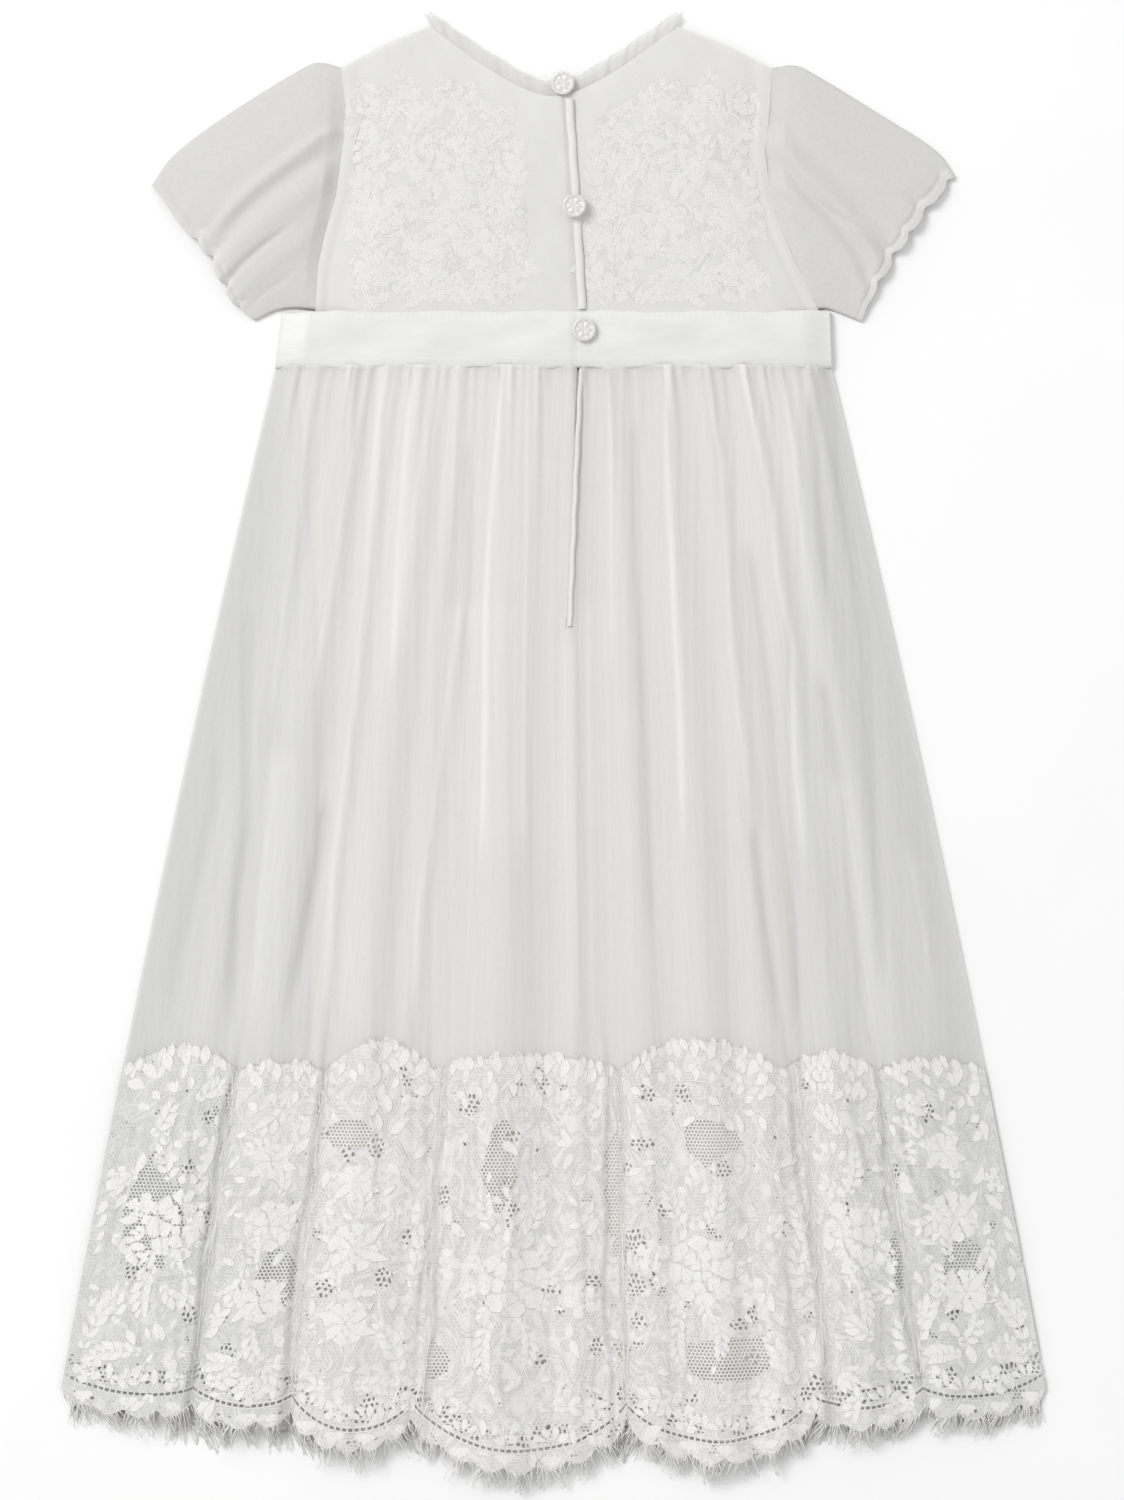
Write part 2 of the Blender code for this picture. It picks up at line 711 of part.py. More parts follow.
def plackets(dress):
    """The folded edges of the back opening, on the bodice and down the skirt's slit."""
    strips = (
        # name, top, bottom, width, height, wall below, slot, rows
        ("bodice_placket", BACK_NECK_Y - 1, SASH_TOP + 2 * SEAM, 4.0, bodice_height, BODICE_WALL, "lace", 12),
        ("skirt_placket", SKIRT_TOP - 2 * SEAM, SLIT_END_Y - 2, 2.4, skirt_height, WALL, "chiffon", 16),
    )
    columns = 3
    for name, first, last, width, height, below, slot, rows in strips:
        def lower(c, r):
            y = first + (last - first) * r / rows
            x = along(CENTRE_LINE, y) + SLIT_GAP / 2 + SEAM / 2 + width * c / columns
            near = [height(x + dx, y + dy) for dx in (-1.2, 0.0, 1.2) for dy in (-4.0, 0.0, 4.0)]
            return x, y, max(near) + STEEPEST * below + SEAM

        def upper(c, r):
            x, y, z = lower(c, r)
            return x, y, z + PLACKET_EDGE + PLACKET_CROWN * math.sin(math.pi * c / columns)

        add_part(name, cloth(columns, rows, lower, upper), slot, dress)


def button(name, x, y, z, tilt, dress):
    """A turned button with a raised rim, a dished face and a foot."""
    radius = BUTTON_RADIUS
    profile = (
        # out, up
        (0.0, 2.3),
        (0.45 * radius, 2.2),
        (0.68 * radius, 1.9),
        (0.8 * radius, 2.5),
        (0.93 * radius, 2.4),
        (radius, 1.8),
        (0.94 * radius, 1.2),
        (0.35 * radius, 0.8),
        (0.3 * radius, 0.0),
        (0.0, 0.0),
    )
    mesh = bpy.data.meshes.new(name)
    mesh.from_pydata(
        [Vector((out, 0, up)) * MM for out, up in profile],
        [(i, i + 1) for i in range(len(profile) - 1)],
        [],
    )
    mesh.materials.append(material(name, "button"))
    part = bpy.data.objects.new(name, mesh)
    part.parent = dress["root"]
    dress["parts"].objects.link(part)
    turn = part.modifiers.new("turn", "SCREW")
    turn.steps = BUTTON_SIDES
    turn.render_steps = BUTTON_SIDES
    turn.use_merge_vertices = True
    turn.merge_threshold = WELD * MM
    turn.use_smooth_shade = True
    part.location = Vector((x, y, z)) * MM
    part.rotation_euler = (0, math.radians(tilt), 0)


def buttons(dress):
    for name, x, y, under, tilt in (
        ("button_neck", 3.8, 262.8, EDGE_HEIGHT + WALL + 2 * SEAM, -4),
        ("button_bodice", 8.3, 213.4, bodice_height(8.3, 213.4) + STEEPEST * BODICE_WALL + 4 * SEAM, 0),
        ("button_sash", 12.2, 164.2, sash_height(12.2, 164.2) + SASH_WALL + SASH_CROWN, 0),
    ):
        button(name, x, y, under + SEAM, tilt, dress)


def main():
    for old in list(bpy.data.objects):
        bpy.data.objects.remove(old)
    dress = {"parts": bpy.data.collections.new("chiffon_dress")}
    bpy.context.scene.collection.children.link(dress["parts"])
    dress["root"] = bpy.data.objects.new("dress", None)
    dress["parts"].objects.link(dress["root"])
    bodice_front(dress)
    bodice_back(dress)
    front_frill(dress)
    back_frills(dress)
    sleeve("sleeve_left", -1, LEFT_SLEEVE, dress)
    sleeve("sleeve_right", 1, RIGHT_SLEEVE, dress)
    sashes(dress)
    front_skirt(dress)
    back_skirt(dress)
    linings(dress)
    lace_bands(dress)
    fringe("fringe_front", FRONT_SCALLOPS, lambda x, y: SEAM, dress)
    fringe("fringe_back", BACK_SCALLOPS, skirt_height, dress)
    plackets(dress)
    buttons(dress)


main()
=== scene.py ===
"""The looks of a baby's chiffon dress with a lace hem, laid flat on its front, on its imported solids.

Lengths are in millimetres and become metres where a mesh is made. +Y runs towards the neck, +X to
the right of the back as it lies, and +Z up from the surface.
"""

import math

import bpy
import numpy as np
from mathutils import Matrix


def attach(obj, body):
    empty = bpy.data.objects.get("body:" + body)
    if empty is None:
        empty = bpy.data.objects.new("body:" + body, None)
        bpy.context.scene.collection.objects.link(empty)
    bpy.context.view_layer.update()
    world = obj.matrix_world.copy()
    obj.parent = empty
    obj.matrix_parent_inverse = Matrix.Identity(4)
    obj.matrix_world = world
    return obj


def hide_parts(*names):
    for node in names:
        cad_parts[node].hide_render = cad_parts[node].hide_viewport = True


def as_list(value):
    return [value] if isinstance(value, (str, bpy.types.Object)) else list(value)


MM = 0.001
UV_SPAN = 100.0
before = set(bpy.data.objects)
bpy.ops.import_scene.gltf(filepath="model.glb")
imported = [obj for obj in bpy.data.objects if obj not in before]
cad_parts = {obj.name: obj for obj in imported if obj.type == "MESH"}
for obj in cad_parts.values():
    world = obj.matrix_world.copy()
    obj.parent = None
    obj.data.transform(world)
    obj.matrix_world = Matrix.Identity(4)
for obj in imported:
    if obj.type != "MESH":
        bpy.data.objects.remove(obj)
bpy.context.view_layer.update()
rng = np.random.default_rng(11)

# Sizes of the solids, as the part has them
WALL = 1.0
BODICE_WALL = 1.2
SASH_WALL = 1.6
SEAM = 0.3
EDGE_HEIGHT = WALL + SEAM
LINING_FRONT_HEIGHT = WALL + SEAM
LINING_BACK_HEIGHT = LINING_FRONT_HEIGHT + WALL + SEAM
STACK_HEIGHT = LINING_BACK_HEIGHT + WALL + SEAM
NECK_HALF = 49.0
SHOULDER_NECK_Y = 286.0
BACK_NECK_Y = 257.8
FRONT_NECK_Y = 236.0
NECK_EASE = 0.15
FRILL_HALF = 51.8
FRILL_PEAK_Y = 294.2
BACK_FRILL_Y = 264.4
FRONT_FRILL_Y = 243.0
BACK_NECK_POWER = 1.35
BACK_FRILL_POWER = 1.15
FRONT_NECK_POWER = 2.2
SHOULDER_SHARE = 0.2
SASH_TOP = 172.0
SASH_BOTTOM = 149.4
SASH_LEFT_TOP = -108.4
SASH_RIGHT_TOP = 110.4
SASH_HALF_BOTTOM = 111.2
SKIRT_TOP = SASH_BOTTOM - SEAM
SKIRT_DROP = 407.6
WAIST_HALF = 111.2
FLARE = 97.0
FLARE_EASE = 11.4
SLIT_END_Y = 48.0
LACE_TOP_Y = -131.0
HEM_Y = SKIRT_TOP - SKIRT_DROP
HEM_BOW = 12.0
SMALL_SCALLOP_DROP = 3.0
LINING_BOTTOM_Y = -250.0
BUTTON_RADIUS = 4.7

# Sizes of the visual model alone
CREASE_TOP_Y = 149.0
LACE_LAP = 2.2
BEAD_PITCH = 2.4
BEAD_ROW = 6.4
STITCH_PITCH = 2.4
LEAF_LONG = 6
LEAF_WIDE = 5
GRIDS = {
    # columns, rows
    "skirt_back": (200, 160), "skirt_front": (121, 60), "lining": (50, 60),
    "lace_back": (380, 126), "lace_front": (180, 44),
    "bodice_back": (120, 130), "bodice_front": (70, 44), "placket": (14, 150),
    "frill_back": (420, 9), "frill_front": (420, 6),
    "sash_back": (190, 26), "sash_front": (90, 16),
}

# Tables of the solids, from the neck down or from left to right. Places across are shares of the
# skirt's half width.
CENTRE_LINE = (
    # y, x
    (264.4, 3.6),
    (215.0, 7.0),
    (172.0, 9.4),
    (149.0, 9.6),
    (104.0, 7.4),
    (48.0, 5.0),
    (-131.0, 7.0),
)
LINING_SIDES = (
    # y, half width
    (149.0, 103.0),
    (90.0, 97.0),
    (15.0, 92.0),
    (-100.0, 97.0),
    (-250.0, 101.0),
)
ARMHOLES = (
    # y, left, right
    (269.2, -84.4, 86.8),
    (254.0, -82.6, 86.0),
    (236.0, -84.0, 84.0),
    (218.0, -86.4, 86.2),
    (203.0, -90.8, 91.0),
    (190.0, -93.6, 96.8),
    (172.3, -94.6, 105.4),
)
RIDGES = (
    # waist, hem, waist_rise, hem_rise, width
    (-0.92, -0.89, 0.6, 1.6, 0.060),
    (-0.84, -0.80, 0.9, 1.8, 0.040),
    (-0.71, -0.63, 1.4, 4.2, 0.060),
    (-0.58, -0.55, 1.0, 2.2, 0.030),
    (-0.46, -0.43, 1.6, 4.6, 0.060),
    (-0.33, -0.35, 0.9, 2.0, 0.030),
    (-0.135, -0.12, 1.8, 5.2, 0.075),
    (0.06, 0.045, 1.2, 2.2, 0.030),
    (0.22, 0.21, 0.9, 2.6, 0.040),
    (0.385, 0.34, 1.8, 5.2, 0.060),
    (0.54, 0.46, 1.2, 3.6, 0.040),
    (0.69, 0.63, 1.5, 4.4, 0.050),
    (0.81, 0.80, 1.0, 3.0, 0.050),
    (0.92, 0.91, 0.6, 1.8, 0.050),
)
VALLEYS = (
    # waist, hem, waist_depth, hem_depth, width
    (-0.78, -0.73, 0.2, 0.95, 0.022),
    (-0.63, -0.53, 0.3, 0.9, 0.022),
    (-0.28, -0.26, 0.2, 0.85, 0.030),
    (-0.01, 0.00, 0.5, 0.3, 0.030),
    (0.14, 0.115, 0.2, 0.9, 0.020),
    (0.62, 0.52, 0.4, 0.95, 0.026),
    (0.76, 0.72, 0.2, 0.9, 0.022),
)
BACK_SCALLOPS = (
    # left, right, drop, arch, small
    (-1.00, -0.74, 4.5, 9.0, 4),
    (-0.74, -0.545, 5.0, 3.0, 3),
    (-0.545, -0.31, 12.0, 12.0, 5),
    (-0.31, 0.115, 18.5, 6.0, 7),
    (0.115, 0.51, 15.5, 12.0, 6),
    (0.51, 0.74, 5.5, 7.0, 4),
    (0.74, 1.00, 5.5, 4.0, 4),
)
FRONT_SCALLOPS = (
    # left, right, drop, arch, small
    (-1.00, -0.80, 2.5, 3.0, 3),
    (-0.80, -0.61, 9.5, 5.0, 3),
    (-0.61, -0.42, 9.0, 5.0, 3),
    (-0.42, -0.06, 6.0, 6.0, 6),
    (-0.06, 0.36, 7.0, 6.0, 6),
    (0.36, 0.74, 5.0, 6.0, 6),
    (0.74, 1.00, 4.0, 3.0, 4),
)
LEFT_SLEEVE = {
    "top": (
        (-84.8, 269.2), (-93.4, 271.4), (-101.6, 268.8), (-131.4, 250.2), (-151.4, 235.0), (-160.6, 222.6),
    ),
    "hem": (
        (-160.6, 222.6), (-150.6, 207.4), (-141.0, 196.0), (-134.0, 184.0), (-128.4, 174.4), (-119.4, 168.4),
    ),
    "under": ((-94.9, 172.9), (-104.5, 173.5), (-111.2, 172.4), (-119.4, 168.4)),
}
RIGHT_SLEEVE = {
    "top": ((87.2, 269.2), (96.6, 270.4), (104.8, 267.0), (131.4, 250.6), (152.4, 237.0), (160.6, 226.4)),
    "hem": ((160.6, 226.4), (154.8, 217.6), (145.6, 205.6), (138.4, 194.4), (130.4, 181.4), (122.8, 167.8)),
    "under": ((105.7, 172.9), (109.4, 173.3), (114.6, 171.4), (122.8, 167.8)),
}

# How the cloth lies on those solids: creases as lines from top to bottom, in the order x, y, x, y
SKIRT_CREASES = (
    # rise, width, line
    (1.1, 2.6, (-81.4, 149, -81.8, 109, -90.6, 51, -98, 10)),
    (1.3, 3.4, (-68.6, 149, -74.2, 66, -79.0, 17, -87.8, -51, -92, -120)),
    (1.1, 2.8, (-56.6, 149, -61.4, 85, -63.4, 48, -66, 10)),
    (1.0, 5.0, (-46.0, 149, -51.8, 114, -59.4, 66, -64, 20)),
    (0.9, 2.2, (-38.0, 149, -39.6, 110, -42, 70)),
    (1.7, 2.6, (-20.2, 149, -22.2, 124, -25.4, 85, -27.0, 56, -27.4, 9, -29, -60)),
    (1.2, 2.4, (-10.2, 149, -10.6, 90, -11.4, 30, -12.4, -60)),
    (1.4, 3.2, (-36.0, 60, -39.8, 37, -46.6, -16, -53.8, -68, -56.2, -122)),
    (1.1, 2.2, (22.6, 149, 22.8, 114, 23.0, 65, 23.6, 20)),
    (1.6, 3.0, (44.6, 149, 45.8, 95, 47.4, 66, 50.2, 12, 52, -50)),
    (1.2, 2.6, (60.0, 149, 67.4, 109, 71.0, 36, 76.2, -10, 78.6, -36)),
    (1.5, 2.8, (75.0, 149, 81.8, 119, 86.6, 95, 89.4, 66, 95.4, 36, 96.2, -10, 101, -60)),
    (0.9, 2.4, (92.0, 149, 96.0, 112, 99.0, 80, 103, 40)),
    (0.9, 2.6, (-96.0, 149, -101, 100, -108, 50, -113, 0)),
    (-1.7, 2.0, (78.0, 80, 81.0, 56, 86.6, 12, 88.6, -22, 93.8, -68, 97.4, -125)),
    (-1.2, 1.8, (79.8, -30, 83.4, -63, 92.6, -125)),
    (-1.2, 2.2, (106, 30, 109, 16, 115, -24, 121.8, -92, 124, -125)),
    (-1.0, 2.2, (123, 60, 125.4, 37, 129, -57, 132, -110)),
    (-0.9, 2.0, (103, 142, 106.2, 95, 109.8, 61, 111, 40)),
    (-0.9, 2.0, (112, 125, 114.6, 109, 120.6, 70, 125.4, 41)),
    (-1.2, 2.2, (-121, 55, -121.8, 37, -123, -38, -126.6, -64, -129.8, -120)),
    (-1.0, 2.2, (-134, 0, -135.8, -26, -149.8, -86, -154, -120)),
    (-1.3, 2.2, (-90, -20, -92.6, -43, -97, -64, -107.8, -120)),
    (-0.9, 1.8, (-33, 120, -34, 60, -36, 0)),
    (-0.9, 1.8, (33, 130, 34, 70, 37, 0, 40, -90)),
    (0.8, 3.0, (14, 60, 14.5, 0, 15, -120)),
    (0.9, 1.1, (4.6, 44, 5.0, -10, 6.4, -128)),
    (0.8, 1.1, (8.2, 44, 8.6, -10, 9.8, -128)),
    (0.9, 3.6, (112, -10, 117, -70, 122, -125)),
    (0.9, 3.6, (-111, 0, -117, -70, -121, -125)),
    (0.8, 3.0, (142, -40, 150, -90, 155, -125)),
)
# Places where the lace folds under itself: share across, width hidden, rise and width of its edge
LACE_FOLDS = (
    # place, hidden, step, width
    (-0.745, 26.0, 2.6, 0.010),
    (-0.545, 22.0, 2.2, 0.009),
    (-0.285, 24.0, 1.8, 0.010),
    (0.115, 26.0, 2.4, 0.008),
    (0.545, 28.0, 2.6, 0.010),
    (0.735, 22.0, 2.0, 0.009),
)



def smooth(share):
    share = np.clip(share, 0.0, 1.0)
    return share * share * (3 - 2 * share)


def bell(offset):
    return np.exp(-offset * offset)


def along(table, place, column=1):
    """A table's column at places in its falling first column."""
    rows = table[::-1]
    return np.interp(place, [r[0] for r in rows], [r[column] for r in rows])


def curve_at(points, share):
    """Points at shares of the way along a smooth curve."""
    points = np.asarray(points, float)
    place = np.clip(share, 0.0, 1.0) * (len(points) - 1)
    i = np.minimum(place.astype(int), len(points) - 2)
    f = (place - i)[..., None]
    padded = np.vstack([2 * points[0] - points[1], points, 2 * points[-1] - points[-2]])
    p0, p1, p2, p3 = padded[i], padded[i + 1], padded[i + 2], padded[i + 3]
    return 0.5 * (
        2 * p1 + (p2 - p0) * f + (2 * p0 - 5 * p1 + 4 * p2 - p3) * f**2 + (3 * p1 - p0 - 3 * p2 + p3) * f**3
    )


def patch(top, bottom, left, right, a, b):
    """The sheet that fills four edges, for arrays of shares a across and b down."""
    t, u, l, r = top(a), bottom(a), left(b), right(b)
    one = np.ones_like(a)
    zero = np.zeros_like(a)
    c = (top(zero), top(one), bottom(zero), bottom(one))
    a, b = a[..., None], b[..., None]
    return (
        (1 - b) * t + b * u + (1 - a) * l + a * r
        - (1 - a) * (1 - b) * c[0] - a * (1 - b) * c[1] - (1 - a) * b * c[2] - a * b * c[3]
    )


def shares_of(columns, rows):
    """Grids of shares across and down."""
    return np.meshgrid(np.linspace(0, 1, columns), np.linspace(0, 1, rows))


def skirt_half(y):
    t = (SKIRT_TOP - y) / SKIRT_DROP
    return WAIST_HALF + FLARE * t - FLARE_EASE * t * t


def side_fall(x, y):
    """From 0 at the skirt's sides to 1 where it lies on the lining."""
    half = skirt_half(y)
    run = np.minimum(34.0, half - along(LINING_SIDES, y) - 1.0)
    return smooth((half - np.abs(x)) / run)


def fold_rise(s, t):
    rise = np.zeros_like(s)
    for waist, hem, waist_rise, hem_rise, width in RIDGES:
        rise += (waist_rise + (hem_rise - waist_rise) * t) * bell((s - waist - (hem - waist) * t) / width)
    for waist, hem, waist_depth, hem_depth, width in VALLEYS:
        depth = waist_depth + (hem_depth - waist_depth) * t
        rise *= 1 - depth * bell((s - waist - (hem - waist) * t) / width)
    return rise


def skirt_height(x, y):
    """Height of the inner face of the skirt's back solid, without its gathers."""
    t = np.maximum((SKIRT_TOP - y) / SKIRT_DROP, 0.0)
    half = skirt_half(y)
    fall = side_fall(x, y)
    base = EDGE_HEIGHT + (STACK_HEIGHT - EDGE_HEIGHT) * fall
    return base + fold_rise(x / half, t) * (0.25 + 0.75 * fall) * smooth((half - np.abs(x)) / 6.0)


# Gathers under the sash, uneven: place across the waist, height, length and width
GATHER_COUNT = 44
GATHERS = np.stack([
    np.linspace(-107, 107, GATHER_COUNT) + rng.uniform(-1.5, 1.5, GATHER_COUNT),
    rng.uniform(0.4, 1.5, GATHER_COUNT),
    rng.uniform(9, 40, GATHER_COUNT),
    rng.uniform(0.9, 1.7, GATHER_COUNT),
], -1)


def gathers(x, y):
    down = SKIRT_TOP - y
    spread = 1 + down / 500
    rise = np.zeros_like(x)
    for place, height, length, width in GATHERS:
        near = np.abs(x - place * spread) < 4 * width + 3
        rise[near] += (
            height * bell((x[near] - place * spread[near]) / (width * (1 + down[near] / 60)))
            * np.exp(-((down[near] / length) ** 1.3))
        )
    return rise


def crease_lines(x, y, at_waist):
    """For each crease: rise, width, how far points lie to its right, and how it fades at its ends."""
    for rise, width, line in SKIRT_CREASES:
        xs, ys = np.array(line[0::2]), np.array(line[1::2], float)
        fade_in = at_waist if ys[0] == CREASE_TOP_Y else smooth((ys[0] - y) / 12.0)
        yield rise, width, x - np.interp(y, ys[::-1], xs[::-1]), fade_in * smooth((y - ys[-1]) / 34.0)


def crease_rise(x, y):
    rise = np.zeros_like(x)
    for height, width, offset, fade in crease_lines(x, y, smooth((CREASE_TOP_Y - y) / 4.0 + 0.6)):
        rise += 0.8 * height * fade * bell(offset / (1.3 * width))
    return rise


def doubling_and_painted_light(x, y):
    """How far the folds double the cloth, partly real and partly painted light: a painted highlight sharp on
    the lit left of each fold and fading to its right, and painted shade along sunken creases and towards the
    skirt's sides, off the lining.
    """
    doubled_and_painted_light = np.zeros_like(x)
    for rise, width, offset, fade in crease_lines(x, y, 1.0):
        if rise > 0:
            # Painted highlight on the lit left of each raised fold, fading to its right.
            spread = np.where(offset < 0, bell(offset / (0.45 * width)), np.exp(-offset / (2.6 * width)))
            doubled_and_painted_light += rise * fade * spread
        else:
            # Painted shade along the sunken creases.
            doubled_and_painted_light += 0.9 * rise * fade * bell(offset / (1.1 * width))
    # Painted shade towards the skirt's sides, where no lining lies under it.
    return doubled_and_painted_light - 1.2 * (1 - side_fall(x, y))


def lace_steps(x, y):
    """Soft edges where the lace folds under itself, higher on the left of each."""
    s = x / skirt_half(y)
    rise = np.zeros_like(x)
    down = smooth((LACE_TOP_Y + 34 - y) / 50.0)
    for place, _, step, width in LACE_FOLDS:
        wander = 0.008 * np.sin(y / 24.0 + place * 9) + 0.003 * np.sin(y / 9.3 + 31 * place)
        offset = s - place - wander
        left = np.exp(-np.maximum(-offset, 0) / 0.06)
        rise += 0.8 * step * down * smooth(0.5 - offset / (2.0 * width)) * left
        rise -= 0.25 * down * bell((offset - 1.4 * width) / (1.8 * width))
    return rise


# Small puckers of the lace: place across, top, length, rise, width and lean
PUCKER_COUNT = 90
PUCKERS = np.stack([
    rng.uniform(-0.97, 0.97, PUCKER_COUNT),
    rng.uniform(-225, -128, PUCKER_COUNT),
    rng.uniform(22, 95, PUCKER_COUNT),
    rng.choice([-1, 1, 1], PUCKER_COUNT) * rng.uniform(0.2, 0.75, PUCKER_COUNT),
    rng.uniform(0.8, 2.2, PUCKER_COUNT),
    rng.uniform(-9, 9, PUCKER_COUNT),
], -1)


def puckers(x, y):
    s = x / skirt_half(y)
    rise = np.zeros_like(x)
    for place, top, length, height, width, lean in PUCKERS:
        down = (top - y) / length
        offset = (s - place) * 190 - lean * (down - 0.5) - 1.1 * np.sin(y / 6.0 + 40 * place)
        near = (down > -0.3) & (down < 1.3) & (np.abs(offset) < 4 * width)
        fade_in, fade_out = smooth((down[near] + 0.3) / 0.4), smooth((1.3 - down[near]) / 0.4)
        rise[near] += height * bell(offset[near] / width) * fade_in * fade_out
    return rise + 0.14 * np.sin(x * 0.7 + 2.4 * np.sin(y * 0.11)) * np.sin(y * 0.16 + x * 0.05)


def fine_ripple(x, y):
    """Slight unevenness of thin cloth along its length."""
    return (
        0.05 * np.sin(x * 0.9 + 2.2 * np.sin(y * 0.013) + 0.4 * np.sin(y * 0.05))
        + 0.04 * np.sin(x * 1.7 + 1.4 * np.sin(y * 0.021 + 1.0))
        + 0.22 * np.sin(x * 0.23 + 1.5 * np.sin(y * 0.009 + 0.5) + 0.6 * np.sin(x * 0.07))
    )


def back_surface(x, y):
    """Height of the back of the skirt and its lace, in the middle of their solids' walls."""
    edge = smooth((skirt_half(y) - np.abs(x)) / 9.0)
    lift = crease_rise(x, y) + fine_ripple(x, y) + lace_steps(x, y)
    if np.max(y) > SKIRT_TOP - 150:
        lift = lift + gathers(x, y) * smooth((SKIRT_TOP - y) / 2.0 + 0.45)
    if np.min(y) < -120:
        lift = lift + puckers(x, y) * smooth((-118 - y) / 12.0)
    floor = EDGE_HEIGHT - 0.3 + (STACK_HEIGHT - EDGE_HEIGHT + 0.1) * side_fall(x, y)
    return np.maximum(skirt_height(x, y) + 0.5 + lift * edge, floor + 0.45)


def front_surface(x, y, rise=0.2, turn=0.3):
    """Height of the front of the skirt and its lace, which lie on the floor."""
    return 0.55 + rise * np.sin(x * turn) * smooth((skirt_half(y) - np.abs(x)) / 8)


def across_skirt(s, y, gap=0.0):
    """X at shares s out from the centre line, 0 there and 1 at the skirt's sides, with a gap at the line."""
    side = np.where(s >= 0, 1.0, -1.0)
    centre = along(CENTRE_LINE, y) + side * gap / 2
    return centre + (side * skirt_half(y) - centre) * np.abs(s)


def scallop_spans(scallops, s):
    """For each scallop: its row, which points are in it, and their share of the way across it."""
    for row in scallops:
        left, right = row[:2]
        inside = (s > left if left > -1 else s >= -1.01) & (s <= right)
        yield row, inside, np.clip((s - left) / (right - left), 0, 1)


def scallop_edges(scallops, s):
    """How far the lace hangs below the hem line and arches above its top line."""
    drop, arch = np.zeros_like(s), np.zeros_like(s)
    for (_, _, low, high, small), inside, share in scallop_spans(scallops, s):
        bow = 4 * share * (1 - share)
        ripple = np.abs(np.sin(math.pi * small * share))
        drop[inside] = (low * bow**0.8 + SMALL_SCALLOP_DROP * ripple)[inside]
        arch[inside] = (high * bow)[inside]
    return HEM_BOW * (1 - s * s) + drop, arch


# Meshes

def add_piece(node_name, kind, points, faces, uv, look, attributes=None, replaces=True):
    """A piece that rides on the dress, from points in millimetres and arrays of quads or triangles."""
    name = f"{node_name}_{kind}"
    mesh = bpy.data.meshes.new(name)
    points = np.asarray(points, float).reshape(-1, 3) * MM
    flat = [np.asarray(f, np.int64) for f in faces if len(f)]
    sizes = np.concatenate([np.full(len(f), f.shape[1]) for f in flat])
    corners = np.concatenate([f.ravel() for f in flat])
    mesh.vertices.add(len(points))
    mesh.vertices.foreach_set("co", points.ravel())
    mesh.loops.add(len(corners))
    mesh.loops.foreach_set("vertex_index", corners)
    mesh.polygons.add(len(sizes))
    mesh.polygons.foreach_set("loop_start", np.concatenate([[0], np.cumsum(sizes)[:-1]]))
    mesh.polygons.foreach_set("loop_total", sizes)
    mesh.update(calc_edges=True)
    mesh.validate()
    layer = mesh.uv_layers.new(name="UVMap")
    layer.data.foreach_set("uv", (np.asarray(uv, float).reshape(-1, 2)[corners] / UV_SPAN).ravel())
    for key, values in (attributes or {}).items():
        made = mesh.attributes.new(key, "FLOAT", "POINT")
        made.data.foreach_set("value", np.asarray(values, np.float32).ravel())
    mesh.shade_smooth()
    mesh.materials.append(looks[look])
    piece = bpy.data.objects.new(name, mesh)
    bpy.context.scene.collection.objects.link(piece)
    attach(piece, "root")
    if replaces:
        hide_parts(node_name)


def grid_faces(rows, columns, closed=False):
    """Quads of a grid of points, closed if its last column meets its first."""
    index = np.arange(rows * columns).reshape(rows, columns)
    if closed:
        index = np.hstack([index, index[:, :1]])
    return np.stack([index[:-1, :-1], index[1:, :-1], index[1:, 1:], index[:-1, 1:]], -1).reshape(-1, 4)


def cloth(node_name, x, y, z, look, thick=0.0, uv=None, attributes=None):
    """A sheet over grids of x, y and z, or a thin closed shell where thick isn't 0."""
    rows, columns = x.shape
    points = np.stack([x, y, z], -1).reshape(-1, 3)
    faces = grid_faces(rows, columns)
    uv = np.stack([x, y] if uv is None else uv, -1).reshape(-1, 2)
    if thick:
        count = len(points)
        index = np.arange(count).reshape(rows, columns)
        rim = np.concatenate([index[0], index[1:, -1], index[-1, -2::-1], index[-2:0:-1, 0]])
        follow = np.roll(rim, -1)
        sides = np.stack([rim, follow, follow + count, rim + count], -1)
        faces = np.vstack([faces, (faces + count)[:, ::-1], sides])
        points = np.vstack([points, points - [0, 0, thick]])
        uv = np.vstack([uv, uv])
    add_piece(node_name, "cloth", points, [faces], uv, look, attributes)


def tubes(paths, radius, sides=4, closed=False):
    """Points and quads of thin tubes along paths, an array of paths by points by 3."""
    paths = np.asarray(paths, float)
    count, length = paths.shape[:2]
    if closed:
        ahead, behind = np.roll(paths, -1, 1), np.roll(paths, 1, 1)
    else:
        ahead = np.concatenate([paths[:, 1:], paths[:, -1:]], 1)
        behind = np.concatenate([paths[:, :1], paths[:, :-1]], 1)
    run = ahead - behind
    run /= np.maximum(np.linalg.norm(run, axis=-1, keepdims=True), 1e-9)
    out = np.cross(run, [0.0, 0.0, 1.0])
    out /= np.maximum(np.linalg.norm(out, axis=-1, keepdims=True), 1e-9)
    up = np.cross(out, run)
    radius = np.broadcast_to(np.asarray(radius, float), (count, length))[..., None]
    rings = [
        paths + radius * (math.cos(a) * out + math.sin(a) * up)
        for a in np.arange(sides) * 2 * math.pi / sides
    ]
    points = np.stack(rings, 2)
    index = np.arange(count * length * sides).reshape(count, length, sides)
    follow = np.roll(index, -1, 1) if closed else index[:, 1:]
    first = index if closed else index[:, :-1]
    quads = np.stack(
        [first, np.roll(first, -1, 2), np.roll(follow, -1, 2), follow], -1
    ).reshape(-1, 4)
    caps = []
    if not closed:
        caps = [index[:, 0, ::-1].reshape(-1, sides), index[:, -1].reshape(-1, sides)]
    return points.reshape(-1, 3), [quads, *caps]


